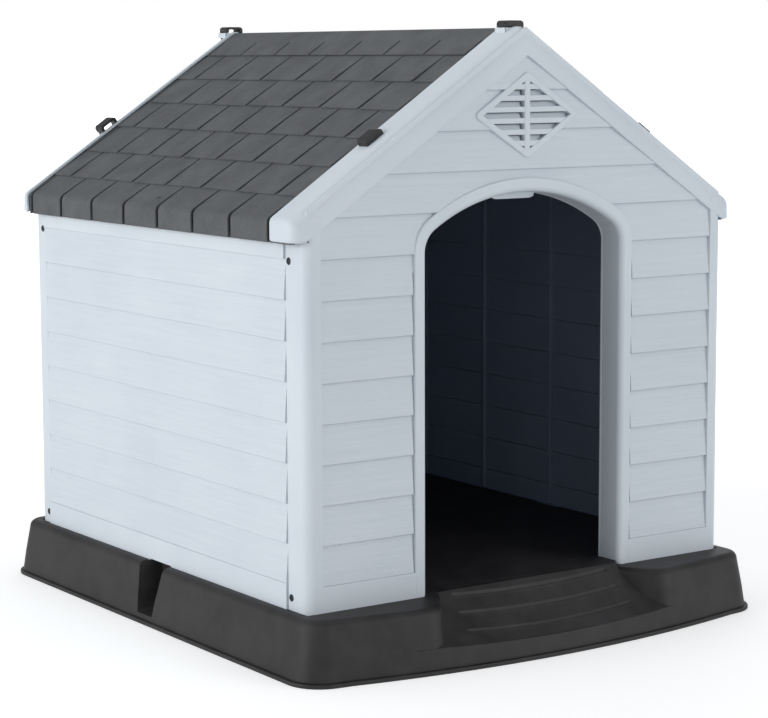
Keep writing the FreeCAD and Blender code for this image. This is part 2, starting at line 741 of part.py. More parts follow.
def roof_ends():
    """Where the roof panels start and stop, tucked under both rim caps."""
    return (f"({FRONT} + {Z.skin} + {Z.roof_end_gap})",
            f"({BACK} - {Z.skin} - {Z.roof_back_gap})")


def tab_joints(name):
    """The grooves between neighbouring tabs, half a tab to the side on every other row."""
    grooves = []
    for row in range(SHINGLE_ROWS):
        upper = shingle_line(row)
        lower = shingle_line(row + 1)
        if row + 1 == SHINGLE_ROWS:
            lower = f"({ROOF_X} * {ROOF_SECANT})"
        for joint in range(-HALF_TABS, HALF_TABS):
            shift = joint + 0.5 * (row % 2) + 0.25
            centre = f"({MIDDLE_Y} + {shift} * {Z.tab_pitch})"
            grooves.append(box(
                f"{name}_joint_{row}_{joint + HALF_TABS}",
                (f"-{lower}", f"{centre} - {Z.tab_joint} / 2",
                 f"-{ROOF_TOP_DEPTH} - {Z.shingle_step} - {Z.tab_joint_depth} / 2"),
                (f"{lower} - {upper}", Z.tab_joint,
                 f"{Z.shingle_step} + {Z.tab_joint_depth}")))
    return grooves


def roof_panel(label, side):
    """One shingled roof half, drawn flat and then tilted onto its slope."""
    name = label
    start, end = roof_ends()
    if side > 0:
        start, end = f"(2 * {MIDDLE_Y} - {end})", f"(2 * {MIDDLE_Y} - {start})"
    plate = prism(f"{name}_plate", "XZ", roof_profile(), start, f"{end} - {start}")
    flat = cut(f"{name}_flat", plate, tab_joints(name))
    tilt = Rotation(Vector(0, 1, 0), -ROOF_ANGLE)
    stand = Placement(Vector(0, 0, value(Z.apex_height)), tilt)
    if side > 0:
        middle = Vector(0, 2 * value(MIDDLE_Y), 0)
        stand = Placement(middle, Rotation(Vector(0, 0, 1), 180)).multiply(stand)
    flat.Placement = stand
    slots = prong_slots(f"{name}_prongs", Z.clip_setback, Z.fit_gap,
                        f"-{Z.skin}", f"5 * {Z.skin}")
    screw = roof_screw_rod(f"{name}_screw_hole", side, Z.screw_shank_radius, Z.screw_length)
    pocket = roof_screw_pocket(f"{name}_screw_pocket", side)
    panel = cut(f"{name}_shell", flat, [slots, screw, pocket])
    panel.Label = label
    return panel


left_roof_panel = roof_panel("left_roof_panel", -1)
right_roof_panel = roof_panel("right_roof_panel", 1)


# ---------------------------------------------------------------- base tray


def tray_outline(inset):
    """The tray's plan: straight sides, rounded corners and a bowed front."""
    inset = f"({inset})"
    front = arch(f"{Z.base_width} / 2 - {inset}", "0", f"{Z.base_length} / 2 - {inset}",
                 f"{Z.base_front_radius} - {inset}", f"{Z.base_corner_radius} - {inset}")
    half = f"({Z.base_width} / 2 - {inset})"
    back = f"({Z.base_length} / 2 - {inset})"
    corner = f"({Z.base_corner_radius} - {inset})"
    plan = [(point[0], f"-({point[1]})") + tuple(
        part if index == 0 else -part for index, part in enumerate(point[2:]))
        for point in front[2:]]
    plan.append((f"-{half}", f"{back} - {corner}", corner, -1))
    plan.append((f"-({half} - {corner})", back))
    plan.append((f"{half} - {corner}", back, corner, -1))
    plan.append((half, f"{back} - {corner}"))
    return plan


def tray_shell():
    """The tapered tray above its floor lip, with a closed hollow inside."""
    body = doc.addObject("PartDesign::Body", "tray_body")
    lower = outline(body, "tray_lower", "XY", tray_outline(Z.base_lip_reach),
                    Z.base_lip_height)
    upper = outline(body, "tray_upper", "XY",
                    tray_outline(f"{Z.base_lip_reach} + {Z.base_taper}"),
                    Z.ledge_height)
    loft = body.newObject("PartDesign::AdditiveLoft", "tray_loft")
    loft.Profile = lower
    loft.Sections = [upper]
    loft.Ruled = True
    lip = prism("tray_lip", "XY", tray_outline("0"), "0", Z.base_lip_height)
    return fuse("tray_outside", [lip, body])


def tray_channel(side):
    """The upright channel at the middle of a side, wider at its mouth."""
    mouth = f"{side} * ({Z.base_width} / 2 + {Z.base_lip_reach})"
    root = f"{side} * ({Z.base_width} / 2 - {Z.channel_reach})"
    points = [
        (mouth, f"{CHANNEL_Y} - {Z.channel_mouth} / 2"),
        (mouth, f"{CHANNEL_Y} + {Z.channel_mouth} / 2"),
        (root, f"{CHANNEL_Y} + {Z.channel_root} / 2"),
        (root, f"{CHANNEL_Y} - {Z.channel_root} / 2"),
    ]
    return prism(f"tray_channel_{side + 1}", "XY", points, Z.channel_floor,
                 f"2 * {Z.floor_height}")


RAMP_TOP_Y = f"({FRONT} - {Z.ramp_top_setback})"
RAMP_LIP_Y = f"(-{Z.base_length} / 2 + {Z.base_lip_reach} + {Z.ramp_lip_setback})"


def ramp_tool():
    """The space above the ramp: a hollow slope in section, wider at its foot in plan."""
    ahead = f"(-{Z.base_length} / 2 - {Z.base_taper})"
    section = [
        (RAMP_TOP_Y, Z.floor_height, Z.ramp_hollow_radius, -1),
        (RAMP_LIP_Y, Z.ramp_lip_height),
        (ahead, Z.ramp_lip_height),
        (ahead, f"2 * {Z.floor_height}"),
        (RAMP_TOP_Y, f"2 * {Z.floor_height}"),
    ]
    wide = f"({Z.ramp_lip_half_width})"
    side = prism("ramp_section", "YZ", section, f"-{wide} * 1.2", f"2.4 * {wide}")
    plan = [
        (f"-{Z.ramp_top_half_width}", RAMP_TOP_Y),
        (Z.ramp_top_half_width, RAMP_TOP_Y),
        (wide, f"{RAMP_LIP_Y} + {Z.ramp_top_setback}"),
        (f"{wide} * 1.05", ahead),
        (f"-{wide} * 1.05", ahead),
        (f"-{wide}", f"{RAMP_LIP_Y} + {Z.ramp_top_setback}"),
    ]
    top = prism("ramp_plan", "XY", plan, "0", f"3 * {Z.floor_height}")
    return common("ramp_space", side, top)


def tread_grooves():
    """Three bowed grooves across the ramp, each cut square to the slope's foot."""
    grooves = []
    run = f"({RAMP_TOP_Y} - {RAMP_LIP_Y})"
    rise = f"({Z.floor_height} - {Z.ramp_lip_height})"
    for tread in range(TREADS):
        share = f"(({tread} + 0.7) / ({TREADS} + 0.4))"
        level = f"({Z.floor_height} - {share} * {rise})"
        back = f"({RAMP_TOP_Y} - {share} * {run})"
        half = f"({Z.tread_half_length} + {tread} * {Z.tread_groove})"
        front = f"({back} - {Z.tread_groove} * 1.5)"
        plan = [
            (f"-{half}", back, Z.tread_bow_radius, 1),
            (half, back),
            (half, front, Z.tread_bow_radius, -1),
            (f"-{half}", front),
        ]
        grooves.append(prism(f"tread_groove_{tread}", "XY", plan,
                             f"{level} - 2 * {Z.tread_groove}", f"6 * {Z.tread_groove}"))
    return grooves


def base_tray():
    """The tray: ledge, wall groove, raised floor, doorway sill, ramp and side channels."""
    outside = tray_shell()
    floor = span("tray_floor",
                 (f"-({LAP_INNER_X} - {Z.fit_gap})", f"{FRONT} + {Z.skin} + {Z.fit_gap}",
                  f"{Z.ledge_height} - {Z.skin}"),
                 (f"({LAP_INNER_X} - {Z.fit_gap})", f"{BACK} - {Z.skin} - {Z.fit_gap}",
                  Z.floor_height))
    sill = span("tray_sill",
                (f"-({Z.door_half_width} - {Z.fit_gap})", RAMP_TOP_Y,
                 f"{Z.ledge_height} - {Z.skin}"),
                (f"({Z.door_half_width} - {Z.fit_gap})", f"{FRONT} + 3 * {Z.skin}",
                 Z.floor_height))
    ring = span("groove_ring",
                (f"-({WALL_X} + {Z.fit_gap})", f"{FRONT} - {Z.fit_gap}", FOOT),
                (f"({WALL_X} + {Z.fit_gap})", f"{BACK} + {Z.fit_gap}",
                 f"2 * {Z.floor_height}"))
    core = span("groove_core",
                (f"-({LAP_INNER_X} - {Z.fit_gap})", f"{FRONT} + {Z.skin} + {Z.fit_gap}", "0"),
                (f"({LAP_INNER_X} - {Z.fit_gap})", f"{BACK} - {Z.skin} - {Z.fit_gap}",
                 f"3 * {Z.floor_height}"))
    bridge = span("groove_bridge",
                  (f"-({Z.door_half_width} - {Z.fit_gap})", f"{FRONT} - 4 * {Z.door_trim_step}", "0"),
                  (f"({Z.door_half_width} - {Z.fit_gap})", f"{FRONT} + 3 * {Z.skin}",
                   f"3 * {Z.floor_height}"))
    groove = cut("groove", ring, [core, bridge])
    tools = [groove, ramp_tool(), tray_channel(-1), tray_channel(1)]
    tools.extend(tread_grooves())
    solid = cut("tray_cut", fuse("tray_solid", [outside, floor, sill]), tools)
    tray = cut("tray", solid, [tray_hollow()])
    tray.Label = "base_tray"
    return tray


def tray_hollow():
    """The closed hollow of the twin-walled tray, clear of channels, groove and ramp."""
    inset = f"({Z.base_lip_reach} + {Z.base_taper} + {Z.base_skin})"
    plan = prism("hollow_plan", "XY", tray_outline(inset), Z.base_skin,
                 f"{FOOT} - 2 * {Z.base_skin}")
    keep = span("hollow_limit",
                (f"-{Z.base_width} / 2", f"{FRONT} + {Z.base_skin}", "0"),
                (f"{Z.base_width} / 2", f"{Z.base_length} / 2", Z.floor_height))
    under_floor = span(
        "hollow_under_floor",
        (f"-({LAP_INNER_X} - {Z.fit_gap} - {Z.base_skin})",
         f"{FRONT} + {Z.skin} + {Z.fit_gap} + {Z.base_skin}", Z.base_skin),
        (f"({LAP_INNER_X} - {Z.fit_gap} - {Z.base_skin})",
         f"{BACK} - {Z.skin} - {Z.fit_gap} - {Z.base_skin}",
         f"{Z.floor_height} - {Z.base_skin}"))
    room = fuse("hollow_all", [common("hollow_room", plan, keep), under_floor])
    walls = []
    for side in (-1, 1):
        reach = f"({Z.base_width} / 2 - {Z.channel_reach} - {Z.base_skin})"
        bounds = sorted((f"{side} * {reach}", f"{side} * {Z.base_width}"), key=value)
        walls.append(span(f"hollow_channel_wall_{side + 1}",
                          (bounds[0], f"{CHANNEL_Y} - {Z.channel_mouth} / 2 - {Z.base_skin}",
                           "0"),
                          (bounds[1], f"{CHANNEL_Y} + {Z.channel_mouth} / 2 + {Z.base_skin}",
                           Z.floor_height)))
    return cut("hollow", room, walls)


tray = base_tray()


# ---------------------------------------------------------------- roof clips

# A clip is drawn at its own origin: X along the rim, Z outward, the rim's surface at 0.


def slope_clip(label, side, at_back):
    """A bridge with a leg and a prong at each end, for the middle of a slope."""
    name = label
    half = f"({Z.clip_length} / 2)"
    crown = f"({Z.clip_height} - {Z.clip_bridge})"
    edge = f"({half} - {Z.clip_leg})"
    section = [
        (f"-{half}", "0"),
        (f"-{edge}", "0"),
        (f"-{edge}", crown),
        (edge, crown),
        (edge, "0"),
        (half, "0"),
        (half, f"{crown} + {Z.clip_bridge} / 2"),
        (edge, Z.clip_height),
        (f"-{edge}", Z.clip_height),
        (f"-{half}", f"{crown} + {Z.clip_bridge} / 2"),
    ]
    bridge = prism(f"{name}_bridge", "XZ", section, f"-{Z.clip_depth} / 2", Z.clip_depth)
    prongs = []
    for end in (-1, 1):
        bounds = sorted((f"{end} * {half}", f"{end} * {edge}"), key=value)
        prongs.append(span(f"{name}_prong_{end + 1}",
                           (bounds[0], f"-{Z.prong_width} / 2", f"-{Z.prong_length}"),
                           (bounds[1], f"{Z.prong_width} / 2", Z.clip_leg)))
    clip = finished_clip(name, [bridge] + prongs, clip_ribs(name, edge, Z.clip_height))
    setback = Z.back_clip_setback if at_back else Z.clip_setback
    place = slope_place(side, setback, Z.clip_station, "0")
    return placed_clip(clip, label, place, at_back)


def clip_ribs(name, edge, top):
    """Shallow grooves across the clip's top."""
    ribs = []
    for rib in (-1, 0, 1):
        centre = f"({rib} * {edge} * 0.55)"
        ribs.append(span(f"{name}_rib_{rib + 1}",
                         (f"{centre} - {Z.clip_bridge} / 4", f"-{Z.clip_depth}",
                          f"{top} - {Z.clip_bridge} / 4"),
                         (f"{centre} + {Z.clip_bridge} / 4", Z.clip_depth,
                          f"{top} + {Z.clip_bridge}")))
    return ribs


def finished_clip(name, solids, grooves):
    return cut(f"{name}_clip", fuse(f"{name}_solid", solids), grooves)


def placed_clip(clip, label, place, at_back):
    """Seats a clip on the front rim, or half a turn round on the back one."""
    if at_back:
        centre = Vector(0, value(f"{FRONT} + {BACK}"), 0)
        place = Placement(centre, Rotation(Vector(0, 0, 1), 180)).multiply(place)
    clip.Placement = place
    clip.Label = label
    return clip


def peak_clip(label, at_back):
    """A clip that bridges the ridge, with upright legs on both slopes."""
    name = label
    half = f"({Z.clip_length} / 2)"
    edge = f"({half} - {Z.clip_leg})"
    drop = f"({ROOF_SLOPE} * 0.35)"
    section = [
        (f"-{half}", f"-{ROOF_SLOPE} * {half}"),
        (f"-{edge}", f"-{ROOF_SLOPE} * {edge}"),
        (f"-{edge}", f"{Z.clip_height} - {Z.clip_bridge} - {drop} * {edge}"),
        ("0", f"{Z.clip_height} - {Z.clip_bridge}"),
        (edge, f"{Z.clip_height} - {Z.clip_bridge} - {drop} * {edge}"),
        (edge, f"-{ROOF_SLOPE} * {edge}"),
        (half, f"-{ROOF_SLOPE} * {half}"),
        (half, f"{Z.clip_height} - {Z.clip_bridge} / 2 - {drop} * {half}"),
        (edge, f"{Z.clip_height} - {drop} * {edge}"),
        ("0", Z.clip_height),
        (f"-{edge}", f"{Z.clip_height} - {drop} * {edge}"),
        (f"-{half}", f"{Z.clip_height} - {Z.clip_bridge} / 2 - {drop} * {half}"),
    ]
    bridge = prism(f"{name}_bridge", "XZ", section, f"-{Z.clip_depth} / 2", Z.clip_depth)
    prongs = []
    for end in (-1, 1):
        bounds = sorted((f"{end} * {half}", f"{end} * {edge}"), key=value)
        prongs.append(span(f"{name}_prong_{end + 1}",
                           (bounds[0], f"-{Z.prong_width} / 2",
                            f"-{ROOF_SLOPE} * {half} - {Z.prong_length} * 1.2"),
                           (bounds[1], f"{Z.prong_width} / 2", f"-{ROOF_SLOPE} * {half} + 1")))
    notch = [span(f"{name}_notch",
                  (f"-{Z.clip_bridge} / 3", f"-{Z.clip_depth}",
                   f"{Z.clip_height} - {Z.clip_bridge} / 3"),
                  (f"{Z.clip_bridge} / 3", Z.clip_depth, f"2 * {Z.clip_height}"))]
    clip = finished_clip(name, [bridge] + prongs, notch)
    setback = Z.back_clip_setback if at_back else Z.clip_setback
    place = turned("0", f"{FRONT} + {setback}", Z.apex_height)
    return placed_clip(clip, label, place, at_back)


clips = []
for end_name, at_back in (("front", False), ("back", True)):
    near_left = 1 if at_back else -1
    clips.append(peak_clip(f"clip_{end_name}_peak", at_back))
    clips.append(slope_clip(f"clip_{end_name}_left", near_left, at_back))
    clips.append(slope_clip(f"clip_{end_name}_right", -near_left, at_back))


# ---------------------------------------------------------------- screws


def screw(label, place, length):
    """A pan-head screw: its head's underside at the origin, its shank along Z."""
    head = rod(f"{label}_head", Z.screw_head_radius, Z.screw_head_height,
               turned("0", "0", f"-{Z.screw_head_height}"))
    shank = rod(f"{label}_shank", Z.screw_shank_radius, length, Placement())
    slots = []
    for turn in (0, 90):
        slot = doc.addObject("Part::Box", f"{label}_slot_{turn}")
        bind(slot, {"Length": f"{Z.screw_head_radius} * 1.2",
                    "Width": f"{Z.screw_shank_radius} / 3",
                    "Height": f"{Z.screw_head_height}"})
        spin = Rotation(Vector(0, 0, 1), turn)
        corner = Vector(-value(Z.screw_head_radius) * 0.6, -value(Z.screw_shank_radius) / 6,
                        -value(Z.screw_head_height) * 1.5)
        slot.Placement = Placement(spin.multVec(corner), spin)
        slots.append(slot)
    whole = cut(f"{label}_whole", fuse(f"{label}_solid", [head, shank]), slots)
    whole.Placement = place
    whole.Label = label
    return whole


screws = []
for side_name, side in (("left", -1), ("right", 1)):
    for end_name, face, depth, sign in (("front", FRONT, Z.front_return, 1),
                                        ("back", BACK, Z.back_return, -1)):
        for level, height in screw_heights():
            place = turned(f"{side} * {WALL_X}", f"{face} + {sign} * {corner_screw_y(depth)}",
                           height, Vector(0, 1, 0), -90.0 * side)
            screws.append(screw(f"screw_{end_name}_{side_name}_{level}", place,
                                Z.screw_length))
    screws.append(screw(f"roof_screw_{side_name}",
                        roof_screw_place(side, ROOF_SCREW_DEPTH), Z.screw_length))


# ---------------------------------------------------------------- checks and files

SUBPARTS = [tray, front_panel, back_panel, left_side_panel, right_side_panel,
            left_roof_panel, right_roof_panel] + clips + screws

doc.recompute()
for item in doc.Objects:
    if "Invalid" in item.State or "Error" in item.State:
        raise RuntimeError(f"{item.Name} failed: {item.State}")
os.makedirs("parts", exist_ok=True)
for item in SUBPARTS:
    shape = item.Shape
    if shape.isNull() or not shape.isValid():
        raise RuntimeError(f"{item.Label} has no valid shape")
    print(f"{item.Label}: {len(shape.Solids)} solid(s), {shape.Volume / 1000:.1f} cm3")
    shape.exportStep(f"parts/{item.Label}.step")
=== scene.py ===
"""Dog house: moulded wall panels with lap siding, a shingled roof, roof clips and a tray base.

Lengths are in millimetres and turn into metres as each mesh is made. The frame is the
house's own: the doorway faces -Y, the ridge runs along Y, and the tray stands on z = 0.
"""

import math

import bmesh
import bpy
import numpy as np
from mathutils import Matrix, Vector


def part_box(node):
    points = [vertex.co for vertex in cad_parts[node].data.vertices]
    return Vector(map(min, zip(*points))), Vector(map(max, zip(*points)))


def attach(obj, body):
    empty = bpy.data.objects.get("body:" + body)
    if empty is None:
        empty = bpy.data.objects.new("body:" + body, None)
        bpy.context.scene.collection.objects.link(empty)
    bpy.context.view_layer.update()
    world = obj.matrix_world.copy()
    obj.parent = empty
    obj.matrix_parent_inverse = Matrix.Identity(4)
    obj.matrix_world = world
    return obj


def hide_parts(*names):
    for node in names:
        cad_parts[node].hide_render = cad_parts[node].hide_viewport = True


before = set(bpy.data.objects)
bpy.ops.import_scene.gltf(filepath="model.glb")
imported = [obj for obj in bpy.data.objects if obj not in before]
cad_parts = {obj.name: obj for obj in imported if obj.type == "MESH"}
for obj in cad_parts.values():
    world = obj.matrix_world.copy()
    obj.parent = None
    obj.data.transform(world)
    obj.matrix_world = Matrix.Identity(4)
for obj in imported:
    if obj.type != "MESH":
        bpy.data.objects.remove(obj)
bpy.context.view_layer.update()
MM = 0.001
HOUSE = "house"

# ---------------------------------------------------------------- sizes


def box_of(node):
    """Lowest and highest corner of a CAD node, in millimetres."""
    return [np.array(corner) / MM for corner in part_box(node)]


HALF_WIDTH, HALF_LENGTH, FLOOR = box_of("base_tray")[1]
RIM_X, _, APEX = box_of("front_panel")[1]
TRIM_OUT = 4.0
FRONT_REACH, BACK_REACH = 3.5, 15.0
FRONT_CAP, BACK_CAP = 44.0, 6.5
RIM_OVERHANG = 15.0
FRONT = box_of("front_panel")[0][1] + TRIM_OUT
BACK = box_of("back_panel")[1][1] - BACK_REACH
MIDDLE_Y = (FRONT + BACK) / 2
WALL_X = RIM_X - RIM_OVERHANG
LEDGE = 71.0
FOOT = 65.0
SKIN = 2.5
FIT = 0.3
SEAM = 0.05

ROOF_RISE, ROOF_RUN = 198.5, 300.0
SLOPE = ROOF_RISE / ROOF_RUN
ROOF_ANGLE = math.atan(SLOPE)
ROOF_COS, ROOF_SIN = math.cos(ROOF_ANGLE), math.sin(ROOF_ANGLE)

PLANK_PITCH = 44.65
FIRST_PLANK = 99.8
PLANK_FOOT_OUT = 2.4
PLANK_HEAD_OUT = -0.9
PLANK_EDGE = 1.0
POST_WIDTH = 20.5
FIELD_X = WALL_X - POST_WIDTH
POST_OUT = 3.4
POST_RADIUS = 13.0
FRONT_RETURN = 36.0
BACK_RETURN = 27.0
EAVE_BAND = 40.0
RIB_PITCH, RIB_DEPTH = 146.0, 6.0
CHANNEL_RELIEF = 52.0

RIM_DEPTH = 35.0 * ROOF_COS
RIM_ROUND = 20.0
RIM_FADE = 26.0
RIM_PEAK = 14.0
NOSE_CORNER = 9.0
NOSE_DROP = 24.5

DOOR_HALF = 140.0
DOOR_TOP = 520.0
CROWN_RADIUS = 230.0
CORNER_RADIUS = 30.0
CROWN_Z = DOOR_TOP - CROWN_RADIUS
CORNER_X = DOOR_HALF - CORNER_RADIUS
SPRING_Z = CROWN_Z + math.sqrt((CROWN_RADIUS - CORNER_RADIUS) ** 2 - CORNER_X ** 2)
TRIM_WIDTH = 16.5
JAMB_BACK = -34.0
JAMB_ROUND = 7.0

VENT_DROP = 102.0
VENT_Z = APEX - VENT_DROP
VENT_HALF_X = 76.0
VENT_HALF_Z = 49.0
VENT_ROWS = 7
VENT_PITCH = 12.7
VENT_SLOT = 6.4

ROOF_OVERHANG = 11.0
ROOF_X = WALL_X + ROOF_OVERHANG
ROOF_FRONT_GAP, ROOF_BACK_GAP = 5.0, 0.5
ROOF_TOP = -(SKIN + FIT)
ROOF_LOW = ROOF_TOP - SKIN
ROOF_UNDER = ROOF_LOW - SKIN
RIDGE_BAND = 47.0
ROW_PITCH = 46.0
TAB_PITCH = 82.5
TAB_RISE = 1.2
DRIP_DROP = 25.3
DRIP_ROUND = 9.0
TAB_LAP = 5.0
TAB_GAP, TAB_GAP_SPREAD = 1.3, 1.7
RIDGE_SEAM = 0.15

# Finish slots of a piece: OUTER is its own plastic, INNER the painted-shade lining of faces inside
# the house and in grooves.
OUTER, INNER = 0, 1


def slope_height(x, depth=0.0):
    """Height at x of the plane that lies a square depth under the outer roof plane."""
    return APEX - SLOPE * np.abs(x) - depth / ROOF_COS


# ---------------------------------------------------------------- mesh making


def arc(centre, radius, start, end, count):
    """Centre plus radius times (cos, sin) of evenly spaced angles, in degrees."""
    turn = np.radians(np.linspace(start, end, count))
    return np.stack([centre[0] + radius * np.cos(turn), centre[1] + radius * np.sin(turn)], -1)


def bezier(points, count):
    """The quadratic curve (1-t)^2 a + 2t(1-t) b + t^2 c through a and c."""
    a, b, c = (np.array(point, float) for point in points)
    t = np.linspace(0, 1, count)[:, None]
    return (1 - t) ** 2 * a + 2 * t * (1 - t) * b + t ** 2 * c


def line(start, end, count):
    """Evenly spaced points from start to end."""
    return np.linspace(np.array(start, float), np.array(end, float), count)


def chain(*runs):
    """Runs of points joined end to end, without repeated points."""
    points = np.concatenate([np.atleast_2d(np.array(run, float)) for run in runs])
    step = np.linalg.norm(np.diff(points, axis=0), axis=1)
    return points[np.concatenate([[True], step > 1e-6])]


class Shape:
    """A mesh in the making: closed shells, each with its own points and faces."""

    def __init__(self):
        self.points, self.faces, self.finishes, self.count = [], [], [], 0

    def loft(self, rings, finish=OUTER, joined=False, ladder=False):
        """Quads between each closed ring and the next; the two ends are joined or capped.

        A cap is one face, or with ladder a strip of quads from point i to point n - 1 - i.
        """
        rings = np.asarray(rings, float)
        stations, around = rings.shape[:2]
        grid = np.arange(stations * around).reshape(stations, around) + self.count
        ahead = np.roll(grid, -1, axis=0)
        if not joined:
            lower, upper = grid[:-1], ahead[:-1]
        else:
            lower, upper = grid, ahead
        quads = np.stack([lower, np.roll(lower, -1, axis=1),
                          np.roll(upper, -1, axis=1), upper], -1).reshape(-1, 4)
        marks = np.broadcast_to(np.asarray(finish), (len(lower), around)).reshape(-1)
        self.points.append(rings.reshape(-1, 3))
        self.faces.extend(quads.tolist())
        self.finishes.extend(marks.tolist())
        self.count += stations * around
        caps = () if joined else (grid[0][::-1], grid[-1])
        for cap in caps:
            strip = [cap]
            if ladder:
                half = around // 2
                strip = np.stack([cap[:half - 1], cap[1:half], cap[::-1][1:half],
                                  cap[::-1][:half - 1]], -1)
            self.faces.extend(face.tolist() for face in strip)
            self.finishes.extend([int(marks[0])] * len(strip))

    def block(self, low, high, edge=0.6, finish=OUTER):
        """A box between two corners: rounded rectangles whose size follows a quarter circle."""
        low, high = np.sort(np.array([low, high], float), axis=0)
        middle, half = (low + high) / 2, (high - low) / 2
        edge = min(edge, half.min() * 0.9)
        sweep = np.radians([0, 30, 60, 90])
        inset = np.concatenate([edge * (1 - np.sin(sweep)), edge * (1 - np.sin(sweep[::-1]))])
        level = np.concatenate([-half[2] + edge * (1 - np.cos(sweep)),
                                half[2] - edge * (1 - np.cos(sweep[::-1]))])
        rings = []
        for shrink, height in zip(inset, level):
            reach = half[:2] - edge
            radius = edge - shrink + 1e-3
            plan = chain(arc(reach, radius, 0, 90, 4), arc(reach * (-1, 1), radius, 90, 180, 4),
                         arc(-reach, radius, 180, 270, 4), arc(reach * (1, -1), radius, 270, 360, 4))
            rings.append(np.column_stack([plan + middle[:2], np.full(len(plan), middle[2] + height)]))
        self.loft(rings, finish)


def inner_marks(count, first, last=None):
    """Finish marks of a section's edges: inner from first up to last, outer elsewhere."""
    marks = np.full(count, OUTER)
    marks[first:last] = INNER
    return marks


def both_halves(half):
    """A path up to x = 0, carried on as its own mirror image."""
    return np.concatenate([half, half[-2::-1] * (-1, 1)])


def ring_at(outline, y, side=1):
    """An (x, z) outline as a ring of points at y, mirrored where side is -1."""
    return np.stack(np.broadcast_arrays(side * outline[:, 0], y, outline[:, 1]), -1)


def add_object(name, data):
    """A new object with that data, linked into the scene."""
    added = bpy.data.objects.new(name, data)
    bpy.context.scene.collection.objects.link(added)
    return added


def smooth_mesh(name, shape):
    """The shape as a mesh in metres, faces outwards, with smooth shading up to an angle."""
    mesh = bpy.data.meshes.new(name)
    mesh.from_pydata((np.concatenate(shape.points) * MM).tolist(), [], shape.faces)
    mesh.polygons.foreach_set("material_index", np.array(shape.finishes, np.int32))
    work = bmesh.new()
    work.from_mesh(mesh)
    bmesh.ops.recalc_face_normals(work, faces=work.faces)
    work.to_mesh(mesh)
    work.free()
    mesh.shade_smooth()
    mesh.set_sharp_from_angle(angle=math.radians(38))
    return mesh


def make_piece(name, shape, finishes, body, nodes=(), even=True):
    """Puts a shape into the scene as a piece that rides on a body and stands for CAD nodes."""
    piece = add_object(name, smooth_mesh(name, shape))
    for finish in finishes:
        piece.data.materials.append(finish)
    if even:
        evened = piece.modifiers.new("even_normals", "WEIGHTED_NORMAL")
        evened.keep_sharp = True
    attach(piece, body)
    if nodes:
        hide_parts(*nodes)
    return piece


# ---------------------------------------------------------------- finishes


class Signal:
    """An output of a node, which Python's operators join to others as Math nodes."""

    def __init__(self, finish, socket):
        self.finish, self.socket = finish, socket

    def _math(self, operation, first, second):
        return self.finish.node("ShaderNodeMath", {"operation": operation}, {0: first, 1: second})

    def __add__(self, other):
        return self._math("ADD", self, other)

    def __mul__(self, other):
        return self._math("MULTIPLY", self, other)

    __radd__ = __add__
    __rmul__ = __mul__


class Finish:
    """A node material with its Principled shader and the piece's own coordinates."""

    def __init__(self, name):
        self.material = bpy.data.materials.new(name)
        self.material.use_nodes = True
        self.tree = self.material.node_tree
        self.shader = self.tree.nodes["Principled BSDF"]
        self.place = self.node("ShaderNodeTexCoord", output="Object")

    def node(self, kind, settings=None, values=None, output=0):
        """Adds a node, sets its settings and then its sockets, and gives one output."""
        node = self.tree.nodes.new(kind)
        for key, setting in (settings or {}).items():
            if key == "stops":
                ramp = node.color_ramp
                ramp.elements[0].position, ramp.elements[0].color = setting[0]
                ramp.elements[1].position, ramp.elements[1].color = setting[-1]
                for position, colour in setting[1:-1]:
                    ramp.elements.new(position).color = colour
            else:
                setattr(node, key, setting)
        for key, given in (values or {}).items():
            self.join(given, node.inputs[key])
        return Signal(self, node.outputs[output])

    def join(self, given, socket):
        """Links a signal to a socket, or sets the socket's value."""
        if isinstance(given, Signal):
            self.tree.links.new(given.socket, socket)
        else:
            socket.default_value = given

    def noise(self, scale, stretch=(1, 1, 1), detail=3.0, roughness=0.55):
        """Noise of that many cells a metre, stretched along the axes."""
        where = self.node("ShaderNodeMapping", None, {"Vector": self.place, "Scale": stretch})
        return self.node("ShaderNodeTexNoise", None, {"Vector": where, "Scale": scale,
                                                      "Detail": detail, "Roughness": roughness})

    def ramp(self, signal, low, high):
        """0 below low, 1 above high, straight between."""
        return self.node("ShaderNodeMapRange", {"clamp": True},
                         {"Value": signal, "From Min": low, "From Max": high})

    def blend(self, share, first, second):
        """One colour turning into another as share goes from 0 to 1."""
        return self.node("ShaderNodeMix", {"data_type": "RGBA"},
                         {0: share, 6: first, 7: second}, 2)

    def bump(self, height, distance, strength=1.0, under=None):
        """A bump of that many metres, on top of another bump."""
        values = {"Height": height, "Distance": distance, "Strength": strength}
        if under is not None:
            values["Normal"] = under
        return self.node("ShaderNodeBump", None, values)

    def feed(self, **sockets):
        """Links or sets the shader's own sockets."""
        for key, given in sockets.items():
            self.join(given, self.shader.inputs[key.replace("_", " ")])
        return self.material


def colour(red, green, blue):
    """Screen values from 0 to 255 as the shader's linear colour."""
    def linear(part):
        part /= 255.0
        return part / 12.92 if part <= 0.04045 else ((part + 0.055) / 1.055) ** 2.4
    return (linear(red), linear(green), linear(blue), 1.0)


def siding_plastic():
    """Pale blue-grey plastic with the mould's long wood grain and a fine matt skin."""
    finish = Finish("siding_plastic")
    cloud = finish.noise(5.0, detail=2.0)
    streak = finish.noise(9.0, (1, 1, 42), detail=4.0, roughness=0.6)
    grain = finish.noise(22.0, (1, 1, 26), detail=5.0, roughness=0.62)
    matt = finish.noise(1500.0, detail=1.0)
    tone = finish.ramp(cloud * 0.5 + streak * 0.5, 0.34, 0.66)
    paint = finish.blend(tone, colour(204, 212, 220), colour(214, 221, 228))
    skin = finish.bump(matt, 0.00006, 0.35)
    relief = finish.bump(finish.ramp(grain, 0.42, 0.66), 0.00035, 0.32, skin)
    return finish.feed(Base_Color=paint, Roughness=0.46 + grain * 0.16, Normal=relief,
                       Specular_IOR_Level=0.38)


